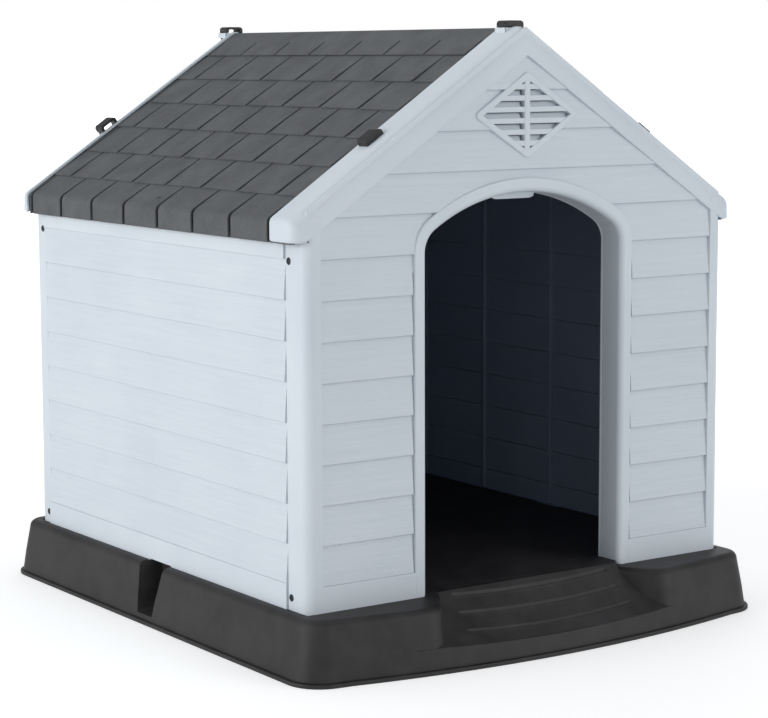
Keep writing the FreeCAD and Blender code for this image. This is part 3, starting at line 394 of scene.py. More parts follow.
def smooth_wall_plastic():
    """The same plastic on posts, trim and rims, where the mould is smooth."""
    finish = Finish("smooth_wall_plastic")
    cloud = finish.noise(6.0, detail=2.0)
    matt = finish.noise(1300.0, detail=1.0)
    ripple = finish.noise(38.0, detail=2.0)
    paint = finish.blend(finish.ramp(cloud, 0.35, 0.65), colour(206, 214, 222),
                         colour(214, 221, 228))
    skin = finish.bump(matt, 0.00006, 0.3)
    return finish.feed(Base_Color=paint, Roughness=0.42 + cloud * 0.14,
                       Normal=finish.bump(ripple, 0.0004, 0.12, skin), Specular_IOR_Level=0.4)


def painted_shade_lining():
    """Painted shade on the inside faces of the walls: the same plastic as outside, coloured a darker
    blue-grey as if in shadow.
    """
    finish = Finish("painted_shade_lining")
    cloud = finish.noise(7.0, detail=3.0)
    matt = finish.noise(900.0, detail=1.0)
    # Painted shade: these blue-greys are the pale wall plastic darkened as it looks in the shade
    # inside the house.
    paint = finish.blend(cloud, colour(124, 136, 156), colour(146, 156, 178))
    return finish.feed(Base_Color=paint, Roughness=0.5 + cloud * 0.2,
                       Normal=finish.bump(matt, 0.0001, 0.4), Specular_IOR_Level=0.3)


def shingle_plastic():
    """Slate-grey plastic with the stippled skin of moulded shingles."""
    finish = Finish("shingle_plastic")
    patch = finish.noise(26.0, detail=3.0)
    speck = finish.noise(420.0, detail=3.0, roughness=0.7)
    crumb = finish.noise(900.0, detail=2.0, roughness=0.7)
    tone = finish.ramp(patch * 0.45 + speck * 0.55, 0.36, 0.64)
    paint = finish.blend(tone, colour(76, 78, 81), colour(98, 100, 102))
    under = finish.bump(speck, 0.0007, 0.5)
    return finish.feed(Base_Color=paint, Roughness=0.62 + speck * 0.2,
                       Normal=finish.bump(crumb, 0.0003, 0.5, under), Specular_IOR_Level=0.3)


def tray_plastic():
    """Charcoal plastic, cloudy, with a matt skin."""
    finish = Finish("tray_plastic")
    cloud = finish.noise(11.0, detail=4.0, roughness=0.6)
    blotch = finish.noise(36.0, detail=2.0)
    matt = finish.noise(700.0, detail=2.0)
    tone = finish.ramp(cloud * 0.65 + blotch * 0.35, 0.36, 0.68)
    paint = finish.blend(tone, colour(20, 18, 19), colour(50, 47, 48))
    skin = finish.bump(matt, 0.00025, 0.45)
    return finish.feed(Base_Color=paint, Roughness=0.44 + cloud * 0.26,
                       Normal=finish.bump(blotch, 0.0006, 0.2, skin), Specular_IOR_Level=0.42)


def clip_plastic():
    """Near-black nylon with a grainy skin."""
    finish = Finish("clip_plastic")
    grain = finish.noise(800.0, detail=2.0)
    paint = finish.blend(grain, colour(22, 22, 24), colour(38, 38, 40))
    return finish.feed(Base_Color=paint, Roughness=0.45 + grain * 0.25,
                       Normal=finish.bump(grain, 0.0002, 0.5))


def screw_steel():
    """Blackened steel, a little worn."""
    finish = Finish("screw_steel")
    wear = finish.noise(600.0, detail=3.0)
    worn = finish.ramp(wear, 0.52, 0.74)
    paint = finish.blend(worn, colour(24, 24, 27), colour(74, 75, 80))
    return finish.feed(Base_Color=paint, Metallic=0.35 + worn * 0.5, Roughness=0.3 + wear * 0.25,
                       Normal=finish.bump(wear, 0.0001, 0.3))


SIDING = siding_plastic()
SMOOTH = smooth_wall_plastic()
# The lining is painted shade for inside faces and for the grooves under the gable boards.
SHADE_LINING = painted_shade_lining()
SHINGLE = shingle_plastic()
TRAY = tray_plastic()
CLIP = clip_plastic()
STEEL = screw_steel()

# ---------------------------------------------------------------- walls

# A wall is drawn as (across, up, out); each panel has a function that places such points.


def on_front(across, up, out):
    """A point of the front wall: out is against Y from its face."""
    return np.stack(np.broadcast_arrays(across, FRONT - out, up), -1)


def on_back(across, up, out):
    """A point of the back wall: out is along Y from its face, and across runs against X."""
    return np.stack(np.broadcast_arrays(-across, BACK + out, up), -1)


def on_side(side):
    """The placing function of a side wall: across is along Y, and out is away from x = 0."""
    def place(across, up, out):
        return np.stack(np.broadcast_arrays(side * (WALL_X + out), across, up), -1)
    return place


def doorway_half(up, grow):
    """Half the doorway's width at a height: straight sides, corner arcs, then the crown arc."""
    corner, crown = CORNER_RADIUS + grow, CROWN_RADIUS + grow
    touch = SPRING_Z + corner * (SPRING_Z - CROWN_Z) / (CROWN_RADIUS - CORNER_RADIUS)
    rounded = CORNER_X + np.sqrt(np.clip(corner ** 2 - (up - SPRING_Z) ** 2, 0, None))
    arched = np.sqrt(np.clip(crown ** 2 - (up - CROWN_Z) ** 2, 0, None))
    return np.where(up < SPRING_Z, DOOR_HALF + grow, np.where(up < touch, rounded, arched))


def vent_half(up, border=0.0):
    """Half the vent's width at a height: a diamond, smaller by a border."""
    reach = VENT_HALF_Z - border
    return np.clip(1 - np.abs(up - VENT_Z) / reach, 0, None) * (VENT_HALF_X - 1.6 * border)


def plank(shape, place, low, high, start, stop, samples, foot_finish=INNER):
    """A siding board: a wedge whose lower edge stands out and whose ends follow start and stop.

    Inside, a slanted foot leaves a V-shaped groove above the board below.
    """
    share = np.linspace(0, 1, samples)
    up = np.concatenate([[low, low + 0.15 * PLANK_EDGE, low + 0.5 * PLANK_EDGE],
                         low + PLANK_EDGE + (high - low - PLANK_EDGE) * share,
                         high - (high - low - 3.0) * share, [low]])
    out = np.concatenate([[PLANK_FOOT_OUT - PLANK_EDGE, PLANK_FOOT_OUT - 0.5 * PLANK_EDGE,
                           PLANK_FOOT_OUT - 0.15 * PLANK_EDGE],
                          PLANK_FOOT_OUT + (PLANK_HEAD_OUT - PLANK_FOOT_OUT) * share,
                          -SKIN - 1.1 * share, [-1.3]])
    marks = inner_marks(len(up), samples + 3)
    # The foot face takes foot_finish; with the inner finish it is painted shade, darkening the groove
    # under each board.
    marks[-1] = foot_finish
    shape.loft([place(end(up), up, out) for end in (start, stop)], marks, ladder=True)


def gable_siding(shape, place, has_door):
    """Every board of a gable wall, cut back round the doorway and the vent."""
    rows = int((APEX - FIRST_PLANK) / PLANK_PITCH)

    def gap(up):
        """Half the width left open: under the door surround or the vent's frame."""
        if not has_door:
            return np.zeros_like(up)
        beside = np.clip((SPRING_Z - 12.0 - up) / 8.0, 0, 1)
        under_trim = doorway_half(up, TRIM_WIDTH / 2) + (TRIM_WIDTH / 2 + 1.5) * beside
        return np.maximum(under_trim, vent_half(up, 4.0))

    def edge(up):
        """Half the width of the boards: up to the posts or under the rim."""
        return np.minimum(FIELD_X, (APEX - 22.0 - up) / SLOPE)

    for row in range(rows):
        low = FIRST_PLANK + row * PLANK_PITCH
        high = low + PLANK_PITCH
        tips = np.array([low, high, VENT_Z - VENT_HALF_Z + 6, VENT_Z + VENT_HALF_Z - 6,
                         np.clip(DOOR_TOP, low, high)])
        tips = tips[(tips >= low) & (tips <= high)]
        if gap(tips).max() > 0:
            for side in (-1, 1):
                plank(shape, place, low, high, lambda up: side * gap(up),
                      lambda up: side * edge(up), 24)
        else:
            plank(shape, place, low, high, lambda up: -edge(up), edge, 4)


def corner_post(shape, place, side, depth):
    """A post and its return round the corner: one bent section carried straight up."""
    outer = chain([[FIELD_X, POST_OUT]],
                  arc((WALL_X - POST_RADIUS, POST_OUT - POST_RADIUS), POST_RADIUS, 90, 0, 9),
                  [[WALL_X, 1.0 - depth], [WALL_X - 0.3, 0.3 - depth], [WALL_X - 1.0, -depth]])
    inner = chain([[WALL_X - SKIN, -depth]],
                  arc((WALL_X - SKIN - 8, -SKIN - 8), 8, 0, 90, 5), [[FIELD_X, -SKIN]])
    plan = np.concatenate([outer, inner])
    marks = inner_marks(len(plan), len(outer), -1)
    top = np.minimum(slope_height(plan[:, 0], 12.0), slope_height(WALL_X, 0) - 7)
    rings = [place(side * plan[:, 0], level, plan[:, 1])
             for level in (np.full(len(plan), FOOT), np.full(len(plan), 300.0), top)]
    shape.loft(rings, marks)


def bar(shape, place, start, stop, low, high, out):
    """A flat rail: a section with rounded outer edges carried across the wall."""
    edge = 1.0
    section = chain([[low, -SKIN]], arc((low + edge, out - edge), edge, 180, 90, 3),
                    arc((high - edge, out - edge), edge, 90, 0, 3), [[high, -SKIN]])
    shape.loft([place(end, section[:, 0], section[:, 1]) for end in (start, stop)],
               inner_marks(len(section), -1))


def rim_stations():
    """Outer and inner guide points of the rim, from one eave nose over the ridge to the other."""
    nose_bottom = slope_height(RIM_X) - NOSE_DROP
    tangent = NOSE_CORNER * math.tan((math.pi / 2 - ROOF_ANGLE) / 2)
    corner_z = slope_height(RIM_X) - tangent
    slant = 90 - math.degrees(ROOF_ANGLE)
    bend = arc((RIM_X - NOSE_CORNER, corner_z), NOSE_CORNER, 0, slant, 7)
    start = bend[-1] + (-ROOF_SIN * RIM_DEPTH, -ROOF_COS * RIM_DEPTH)
    foot = start - (0.05, 0.6)
    side = line((RIM_X, nose_bottom), (RIM_X, corner_z), 5)[:-1]
    side_inner = line((foot[0], nose_bottom), foot, 5)[:-1]
    crest = arc((0, APEX - RIM_PEAK / ROOF_COS), RIM_PEAK, slant, 90, 5)
    low_apex = (0, slope_height(0, RIM_DEPTH))
    up_outer = line(bend[-1], crest[0], 8)[1:-1]
    up_inner = line(start, low_apex, 8)[1:-1]
    half_outer = np.concatenate([side, bend, up_outer, crest])
    half_inner = np.concatenate([side_inner, line(foot, start, 7), up_inner,
                                 line(low_apex, low_apex, 5)])
    return both_halves(half_outer), both_halves(half_inner)


def rim_section(square, reach, cap, shrink):
    """(depth, out) outline of the rim: a cap, a quadratic curve into the face, and a step."""
    wall = min(SKIN, 0.35 * square)
    soft = min(RIM_ROUND, 0.85 * square)
    fade = min(RIM_FADE, 0.9 * square)
    edge = 0.4
    return np.concatenate([
        [[wall, shrink - cap], [0.9 + shrink, shrink - cap], [0.25 + shrink, 0.3 + shrink - cap],
         [shrink, 1.0 + shrink - cap], [shrink, 0.3 * (reach - soft) - 0.7 * cap]],
        bezier(((shrink, reach - soft), (shrink, reach - shrink), (fade, reach - shrink)), 15),
        arc((square - edge, reach - edge - shrink), edge, 90, 0, 4),
        [[square, -1.4], [square - wall, -1.4], [square - wall, reach - wall - shrink]],
        arc((soft, reach - soft), soft - wall - shrink * 0.5, 90, 180, 6),
    ])


def gable_rim(shape, place, reach, cap):
    """The rim: a hollow section with a big soft outer edge, carried along the gable."""
    outer, inner = rim_stations()
    lift = np.array([0.0, 0.8, 2.6])
    ends = [(outer[0] + (0, rise), inner[0] + (0, rise), shrink)
            for rise, shrink in zip(lift, (2.4, 0.7, 0.0))]
    stations = [(top, low, 0.0) for top, low in zip(outer[1:-1], inner[1:-1])]
    closing = [(top * (-1, 1), low * (-1, 1), shrink) for top, low, shrink in ends[::-1]]
    rings = []
    for top, low, shrink in ends + stations + closing:
        way = low - top
        square = min(np.linalg.norm(way), RIM_DEPTH)
        section = rim_section(square, reach, cap, shrink)
        spot = top + way / square * section[:, :1]
        rings.append(place(spot[:, 0], spot[:, 1], section[:, 1]))
    shape.loft(rings)


def peak_seat(shape, place, low_out, high_out):
    """The seat of a ridge clip: four low walls round its feet and a plate between them."""
    base, top = slope_height(14.5) - 1.0, APEX - 4.1
    spans = [((side * 13.3, base, low_out), (side * 14.6, top, high_out)) for side in (-1, 1)]
    spans += [((-14.6, base, end), (14.6, top, end + 1.2)) for end in (low_out, high_out - 1.2)]
    spans.append(((-9.2, top - 2.0, low_out + 0.5), (9.2, top, high_out - 0.5)))
    for span in spans:
        shape.block(*place(*np.array(span).T), 0.5)


def gable_header(shape, place):
    """The plain strip of wall behind the rim, under the roof plane."""
    rings = []
    for x in (-WALL_X + 4, 0.0, WALL_X - 4):
        top, low = slope_height(x, SKIN + FIT), slope_height(x, RIM_DEPTH - 1)
        up = np.array([low, top, top, low])
        rings.append(place(np.full(4, x), up, np.array([-0.5, -0.5, -SKIN, -SKIN])))
    shape.loft(rings, [OUTER, OUTER, INNER, OUTER])


def doorway_path():
    """Points of the doorway's edge from one foot over the crown to the other, with normals."""
    turn = math.degrees(math.atan2(SPRING_Z - CROWN_Z, CORNER_X))
    side = line((DOOR_HALF, LEDGE), (DOOR_HALF, SPRING_Z), 6)[:-1]
    corner = arc((CORNER_X, SPRING_Z), CORNER_RADIUS, 0, turn, 9)[:-1]
    crown = arc((0, CROWN_Z), CROWN_RADIUS, turn, 90, 15)
    points = np.concatenate([side, corner, crown])
    normals = np.concatenate([np.tile([1.0, 0.0], (len(side), 1)),
                              (corner - (CORNER_X, SPRING_Z)) / CORNER_RADIUS,
                              (crown - (0, CROWN_Z)) / CROWN_RADIUS])
    return both_halves(points), both_halves(normals)


def doorway_trim(shape, place):
    """The door surround: a quarter-circle shoulder, a flat jamb and a bead at its back edge."""
    face = 3.4
    section = chain(
        [[TRIM_WIDTH + 4.0, -SKIN], [TRIM_WIDTH + 4.0, -1.6], [TRIM_WIDTH, -1.6],
         [TRIM_WIDTH, 1.9], [TRIM_WIDTH - 0.4, 2.8], [TRIM_WIDTH - 1.2, 3.25],
         [TRIM_WIDTH - 2.4, face]],
        arc((JAMB_ROUND, face - JAMB_ROUND), JAMB_ROUND, 90, 180, 12),
        [[0.0, JAMB_BACK + 3.8], [-0.4, JAMB_BACK + 3.2], [-0.8, JAMB_BACK + 2.2],
         [-0.7, JAMB_BACK + 0.9], [-0.2, JAMB_BACK + 0.1], [0.5, JAMB_BACK],
         [SKIN + 0.5, JAMB_BACK], [SKIN + 0.5, -SKIN]])
    rings = []
    for point, normal in zip(*doorway_path()):
        spot = point + section[:, :1] * normal
        rings.append(place(spot[:, 0], spot[:, 1], section[:, 1]))
    # The back faces behind the wall take the painted-shade lining.
    shape.loft(rings, inner_marks(len(section), -3))


def doorway_tab(shape, place):
    """The moulded tab under the crown, with slanted ends and a curved top in the jamb."""
    x = np.linspace(-31, 31, 13)
    top = CROWN_Z + np.sqrt((CROWN_RADIUS + 1) ** 2 - x ** 2)
    rings = []
    for out, shrink in ((-24, 0.5), (-24.5, 0), (-26, 0), (-26.5, 0.5)):
        low = np.full(len(x), DOOR_TOP - 8.5 + shrink)
        low[0] = low[-1] = DOOR_TOP - 6.5
        up = np.concatenate([low, top[::-1]])
        rings.append(place(np.concatenate([x * 0.96, x[::-1]]), up, np.full(len(up), float(out))))
    shape.loft(rings)


def vent(shape, place):
    """The vent: a raised diamond frame with arcs at its corners, cross strips and a middle bar."""
    border, radius = 7.5, 5.0
    section = np.array([[0, -SKIN], [0, 2.4], [-0.5, 3.2], [-1.3, 3.5], [-border + 1, 3.5],
                        [-border + 0.3, 3.2], [-border, 2.4], [-border, -8.0],
                        [-border + 1.5, -8.0]])
    reach = (radius + section[:, 0])[:, None]
    flat = math.degrees(math.atan2(VENT_HALF_Z, VENT_HALF_X))
    sharp, blunt = (VENT_HALF_X, 90 - flat), (VENT_HALF_Z, flat)
    rings = []
    for turn, (tip, half) in zip((0, 90, 180, 270), (sharp, blunt, sharp, blunt)):
        axis = arc((0, 0), 1.0, turn, turn, 1)[0]
        slant = math.cos(math.radians(half))
        for normal in arc((0, 0), 1.0, turn - half, turn + half, 7):
            pointed = axis * reach / slant + normal * 0.05
            spot = axis * (tip - radius / slant) + np.where(reach > 0, normal * reach, pointed)
            rings.append(place(spot[:, 0], VENT_Z + spot[:, 1], section[:, 1]))
    shape.loft(rings, joined=True)
    strip = (VENT_PITCH - VENT_SLOT) / 2
    for row in range(-(VENT_ROWS // 2) - 1, VENT_ROWS // 2 + 1):
        level = VENT_Z + (row + 0.5) * VENT_PITCH
        section = np.array([[-strip, -2.0], [-strip, 2.0], [-strip + 0.6, 2.6],
                            [strip - 0.6, 2.6], [strip, 2.0], [strip, -2.0]])
        half = vent_half(level + section[:, 0], border * 0.55)
        if half.max() < 3:
            continue
        shape.loft([place(end * half, level + section[:, 0], section[:, 1]) for end in (-1, 1)])
    section = np.array([[-4, -8.0], [-4, 2.4], [-3.3, 3.1], [3.3, 3.1], [4, 2.4], [4, -8.0]])
    shape.loft([place(section[:, 0], VENT_Z + end * (VENT_HALF_Z - border * 0.8), section[:, 1])
                for end in (-1, 1)])


def louvres(shape, place):
    """The slanted blades in the vent's slots, each leaning back as it rises."""
    for row in range(-(VENT_ROWS // 2), VENT_ROWS // 2 + 1):
        level = VENT_Z + row * VENT_PITCH
        lean = np.array([[-3.8, -1.6], [2.2, -4.4], [2.2, -6.0], [-4.4, -3.4]])
        reach = vent_half(level + lean[:, 0], 5.5) - 1.0
        if reach.min() < 8:
            continue
        for side in (-1, 1):
            shape.loft([place(side * end, level + lean[:, 0], lean[:, 1])
                        for end in (6.2, reach - 2.0)])


# By default the inner faces get the painted-shade lining.
def wall_piece(name, shape, node, finishes=(SMOOTH, SHADE_LINING), even=True):
    """A piece of wall plastic that stands for one panel of the house."""
    make_piece(name, shape, finishes, HOUSE, (node,), even)


def gable_wall(place, name, depth, has_door):
    """All the pieces of one gable panel."""
    node = f"{name}_panel"
    siding = Shape()
    gable_siding(siding, place, has_door)
    wall_piece(f"{name}_siding", siding, node, (SIDING, SHADE_LINING))
    posts = Shape()
    for side in (-1, 1):
        corner_post(posts, place, side, depth)
    if has_door:
        for side in (-1, 1):
            bar(posts, place, side * (DOOR_HALF + TRIM_WIDTH - 1), side * FIELD_X, FOOT,
                FIRST_PLANK, POST_OUT)
    else:
        bar(posts, place, -FIELD_X, FIELD_X, FOOT, FIRST_PLANK, POST_OUT)
    gable_header(posts, place)
    wall_piece(f"{name}_posts", posts, node)
    rim = Shape()
    reach, cap = (FRONT_REACH, FRONT_CAP) if has_door else (BACK_REACH, BACK_CAP)
    gable_rim(rim, place, reach, cap)
    peak_seat(rim, place, *((-40.0, -20.0) if has_door else (-4.5, 14.6)))
    wall_piece(f"{name}_rim", rim, node, (SMOOTH,), even=False)
    if has_door:
        trim = Shape()
        doorway_trim(trim, place)
        doorway_tab(trim, place)
        wall_piece("door_surround", trim, node)
        grille = Shape()
        vent(grille, place)
        louvres(grille, place)
        wall_piece("gable_vent", grille, node, (SMOOTH,))


def side_wall(side, name):
    """One side panel: rail, boards, eave band, inside ribs and the laps behind the corners."""
    place = on_side(side)
    start, stop = FRONT + FRONT_RETURN + SEAM, BACK - BACK_RETURN - SEAM
    top = slope_height(WALL_X, -ROOF_UNDER + FIT) - 1
    rows = int((top - EAVE_BAND - FIRST_PLANK) / PLANK_PITCH)
    siding = Shape()
    for row in range(rows):
        low = FIRST_PLANK + row * PLANK_PITCH
        plank(siding, place, low, low + PLANK_PITCH, lambda up: np.full_like(up, start),
              lambda up: np.full_like(up, stop), 4, OUTER)
    wall_piece(f"{name}_siding", siding, f"{name}_panel", (SIDING, SHADE_LINING))
    bands = Shape()
    half = CHANNEL_RELIEF / 2
    for low_y, high_y, low, high in (
            (start, MIDDLE_Y - half, FOOT, FIRST_PLANK),
            (MIDDLE_Y - half, MIDDLE_Y + half, LEDGE + 0.8, FIRST_PLANK),
            (MIDDLE_Y + half, stop, FOOT, FIRST_PLANK),
            (start, stop, FIRST_PLANK + rows * PLANK_PITCH, top)):
        bar(bands, place, low_y, high_y, low, high, PLANK_FOOT_OUT)
    inner = WALL_X - SKIN
    for step in (-1, 0, 1):
        rib_y = MIDDLE_Y + step * RIB_PITCH
        bands.block((side * (inner - RIB_DEPTH), rib_y - 1.5, FLOOR + 1),
                    (side * inner, rib_y + 1.5, top - 10), 1.0, INNER)
    for low_y, high_y in ((start - 30, start + 10), (stop - 10, stop + 21)):
        bands.block((side * (inner - FIT - SKIN), low_y, FOOT),
                    (side * (inner - FIT), high_y, top - 5), 0.8, INNER)
    bands.block((side * (CHANNEL_X - 1), MIDDLE_Y - half - 3, LEDGE + 0.4),
                (side * (inner + 1), MIDDLE_Y + half + 3, FLOOR - 0.4), 0.4, INNER)
    wall_piece(f"{name}_bands", bands, f"{name}_panel")


# ---------------------------------------------------------------- roof

# A roof half is drawn as (down, y, out): down the slope from the ridge, and square to it.


def on_slope(side, down, y, out):
    """A point of one roof slope, down from the ridge line and out from the outer plane."""
    return np.stack(np.broadcast_arrays(side * (down * ROOF_COS + out * ROOF_SIN), y,
                                        APEX - down * ROOF_SIN + out * ROOF_COS), -1)


def slope_outline(down, out):
    """(x, z) points at distances down the slope from the ridge line and out from the plane."""
    return on_slope(1, np.array(down), 0.0, np.array(out))[:, [0, 2]]


def eave_bend(offset):
    """(x, z) points of the roof skin from the slope round the eave and down the drip edge."""
    corner_z = slope_height(ROOF_X, -ROOF_TOP)
    tangent = DRIP_ROUND * math.tan((math.pi / 2 - ROOF_ANGLE) / 2)
    bend = arc((ROOF_X - DRIP_ROUND, corner_z - tangent), DRIP_ROUND - offset,
               90 - math.degrees(ROOF_ANGLE), 0, 7)
    return chain(bend, [[ROOF_X - offset, corner_z - DRIP_DROP]])


def roof_tab(shape, side, upper, lower, start, stop, lift):
    """A shingle: a thin wedge with soft edges, wider apart from its neighbours lower down."""
    edge = 1.0
    top = np.array([[upper - TAB_LAP, ROOF_TOP - TAB_RISE - 0.9],
                    [(upper + lower) / 2, ROOF_TOP - 0.5 * TAB_RISE],
                    [lower - edge, ROOF_TOP], [lower - 0.3 * edge, ROOF_TOP - 0.25 * edge],
                    [lower, ROOF_TOP - 0.9 * edge]])
    under = np.array([[lower - 0.2, ROOF_TOP - 1.8], [(upper + lower) / 2, ROOF_LOW - 1.2],
                      [upper - TAB_LAP, ROOF_LOW - 1.9]])
    section = np.concatenate([top, under])
    gap = TAB_GAP + TAB_GAP_SPREAD * np.clip((section[:, 0] - upper) / (lower - upper), 0, 1)
    rings = []
    for end, inward, drop in ((0, 0.0, 0.9), (0, 0.35, 0.25), (0, 1.0, 0.0),
                              (1, 1.0, 0.0), (1, 0.35, 0.25), (1, 0.0, 0.9)):
        y = np.where(end == 0, start + gap + inward, stop - gap - inward)
        out = section[:, 1] + lift
        out[:len(top)] -= drop
        rings.append(on_slope(side, section[:, 0], y, out))
    shape.loft(rings)


def eave_tab(shape, side, upper, start, stop):
    """A shingle of the lowest row, which bends over the eave into the drip edge."""
    def skin(offset):
        """(x, z) points of the shingle's skin, set in by an offset."""
        lead = slope_outline([upper - TAB_LAP, (upper + ROOF_X / ROOF_COS) / 2],
                             [ROOF_TOP - TAB_RISE - 0.9 - offset, ROOF_TOP - 0.5 * TAB_RISE - offset])
        return np.concatenate([lead, eave_bend(offset)])

    outer, inner = skin(0.0), skin(2.2)
    bottom = np.array([[ROOF_X - 0.4, outer[-1, 1]]])
    section = np.concatenate([outer[:-1], outer[-1:] + (0, 0.8), bottom, inner[::-1]])
    share = np.clip((section[:, 0] - upper * ROOF_COS) / (ROOF_X - upper * ROOF_COS), 0, 1)
    gap = TAB_GAP + TAB_GAP_SPREAD * share
    pull = outer.mean(axis=0) - (30, 30) - section
    pull /= np.linalg.norm(pull, axis=1)[:, None]
    rings = []
    for end, inward, shrink in ((0, 0.0, 0.8), (0, 0.3, 0.25), (0, 1.0, 0.0),
                                (1, 1.0, 0.0), (1, 0.3, 0.25), (1, 0.0, 0.8)):
        y = np.where(end == 0, start + gap + inward, stop - gap - inward)
        spot = section.copy()
        spot[:len(outer)] += pull[:len(outer)] * shrink
        rings.append(ring_at(spot, y, side))
    shape.loft(rings)


def ridge_band(shape, side, start, stop):
    """The smooth band along the ridge, rounded over the top, with short joints in its edge."""
    lower = RIDGE_BAND / ROOF_COS
    short = lower * 0.5
    turn = 4.0
    top = slope_height(0, -ROOF_TOP)
    crest_z = top - turn * (1 / ROOF_COS - 1)
    crest = arc((RIDGE_SEAM, crest_z - turn), turn, 90, 90 - math.degrees(ROOF_ANGLE), 6)
    flat = slope_outline([short - 1.5, short, lower - 1, lower - 0.3, lower],
                         np.array([0, 0, 0, -0.3, -1.0]) + ROOF_TOP)
    under = slope_outline([lower - 0.8, short, 3.5],
                          [ROOF_TOP - 1.7, ROOF_LOW - 1.2, ROOF_LOW - 1.9])
    section = np.concatenate([crest, flat, under, [[RIDGE_SEAM, crest_z - 6]]])
    sunk = np.zeros(len(section))
    sunk[len(crest) + 1:len(crest) + len(flat)] = 1.7
    stations = [(start, 0.0)]
    for joint in tab_joints(-1, start, stop):
        stations.extend([(joint - 1.9, 0.0), (joint - 1.5, 1.0), (joint + 1.5, 1.0),
                         (joint + 1.9, 0.0)])
    stations.append((stop, 0.0))
    rings = []
    for y, depth in stations:
        spot = section - np.outer(sunk * depth, (ROOF_SIN, ROOF_COS))
        rings.append(ring_at(spot, y, side))
    shape.loft(rings)


def tab_joints(row, start, stop):
    """Where along Y a row's joints lie, half a tab to the side on every other row."""
    reach = int((stop - start) / TAB_PITCH) + 2
    places = MIDDLE_Y + (np.arange(-reach, reach) + 0.5 * (row % 2) + 0.25) * TAB_PITCH
    return places[(places > start + 4) & (places < stop - 4)]


def roof_sheet(shape, side, start, stop):
    """The sheet under the shingles, down to the inside of the drip edge."""
    ridge = slope_outline([1.2, 1.2], [ROOF_LOW - 1.6, ROOF_UNDER])
    ridge[:, 0] = RIDGE_SEAM
    section = np.concatenate([ridge[:1], eave_bend(4.0), eave_bend(5.4)[::-1], ridge[1:]])
    # Its underside, inside the house, takes the painted-shade lining.
    shape.loft([ring_at(section, y, side) for y in (start, stop)],
               inner_marks(len(section), -2, -1))


def roof_half(side, name):
    """One roof panel: its sheet, ridge band, rows of shingles and the eave row."""
    start, stop = FRONT + SKIN + ROOF_FRONT_GAP, BACK - SKIN - ROOF_BACK_GAP
    shape = Shape()
    roof_sheet(shape, side, start, stop)
    ridge_band(shape, side, start, stop)
    lines = [(RIDGE_BAND + row * ROW_PITCH) / ROOF_COS
             for row in range(int((ROOF_X - RIDGE_BAND) / ROW_PITCH) + 1)]
    chance = np.random.default_rng(11 if side < 0 else 12)
    for row, upper in enumerate(lines):
        edges = np.concatenate([[start - 2], tab_joints(row, start, stop), [stop + 2]])
        for low_y, high_y in zip(edges[:-1], edges[1:]):
            uneven, lift = chance.uniform(-0.7, 0.7), chance.uniform(-0.2, 0.0)
            low_y, high_y = max(low_y, start - 0.5), min(high_y, stop + 0.5)
            if row + 1 < len(lines):
                roof_tab(shape, side, upper, lines[row + 1] + uneven, low_y, high_y, lift)
            else:
                eave_tab(shape, side, upper, low_y, high_y)
    make_piece(f"{name}_shingles", shape, (SHINGLE, SHADE_LINING), HOUSE,
               (f"{name}_roof_panel",))


# ---------------------------------------------------------------- tray

BASE_CORNER = 42.0
BASE_BOW = 1300.0
LIP_REACH = 4.0
LIP_HEIGHT = 5.0
TAPER = 10.0
RAMP_SETBACK = 8.0
RAMP_TOP_Y = FRONT - RAMP_SETBACK
RAMP_HALF_TOP = 127.0
RAMP_HALF_LIP = 166.0
NOTCH_REACH = RAMP_HALF_LIP + 12.0
LIP_Z, LIP_RISE = 24.0, 4.0
RAMP_SAG = 4.0
GROOVES = (0.125, 0.415, 0.745)
LEDGE_ROUND = 9.0
CHANNEL_FLOOR = 11.0
CHANNEL_REACH = 42.0
CHANNEL_X = HALF_WIDTH - CHANNEL_REACH
CHANNEL_FOOT, CHANNEL_SPREAD = 17.5, 11.0
CHANNEL_ROUND = 14.0
GROOVE_DEPTH, GROOVE_BEAD = 3.2, 0.5
SIDE_STEPS = (0, 18, 36, 54, 72, 90)
LEDGE_STEPS = (0, 15, 32, 50, 70, 90)


def taper_inset(z):
    """How far the tray's side stands in from its lip at a height."""
    return LIP_REACH + TAPER * np.clip((z - LIP_HEIGHT) / (LEDGE - LIP_HEIGHT), 0, 1)


def front_line(x, inset):
    """The bowed front edge: an arc of the bow's radius, set in by an inset."""
    radius = BASE_BOW - inset
    return -HALF_LENGTH + BASE_BOW - np.sqrt(radius ** 2 - x ** 2)


def notch_half(share):
    """Half the ramp's width, from its top (0) to its lip (1): a line plus a fourth power."""
    return RAMP_HALF_TOP + 26.0 * share + 13.0 * share ** 4


def lip_height(x):
    """The crease in front of the ramp: lowest in the middle, rising with x squared."""
    return LIP_Z + LIP_RISE * (x / RAMP_HALF_LIP) ** 2


def lip_line(x):
    """Where the crease lies along Y."""
    return front_line(x, taper_inset(lip_height(x)))


def channel_half(z):
    """Half the side channel's mouth at a height: it narrows evenly towards its foot."""
    rise = np.clip((z - CHANNEL_FLOOR) / (LEDGE - CHANNEL_FLOOR), 0, 1)
    return CHANNEL_FOOT + CHANNEL_SPREAD * rise


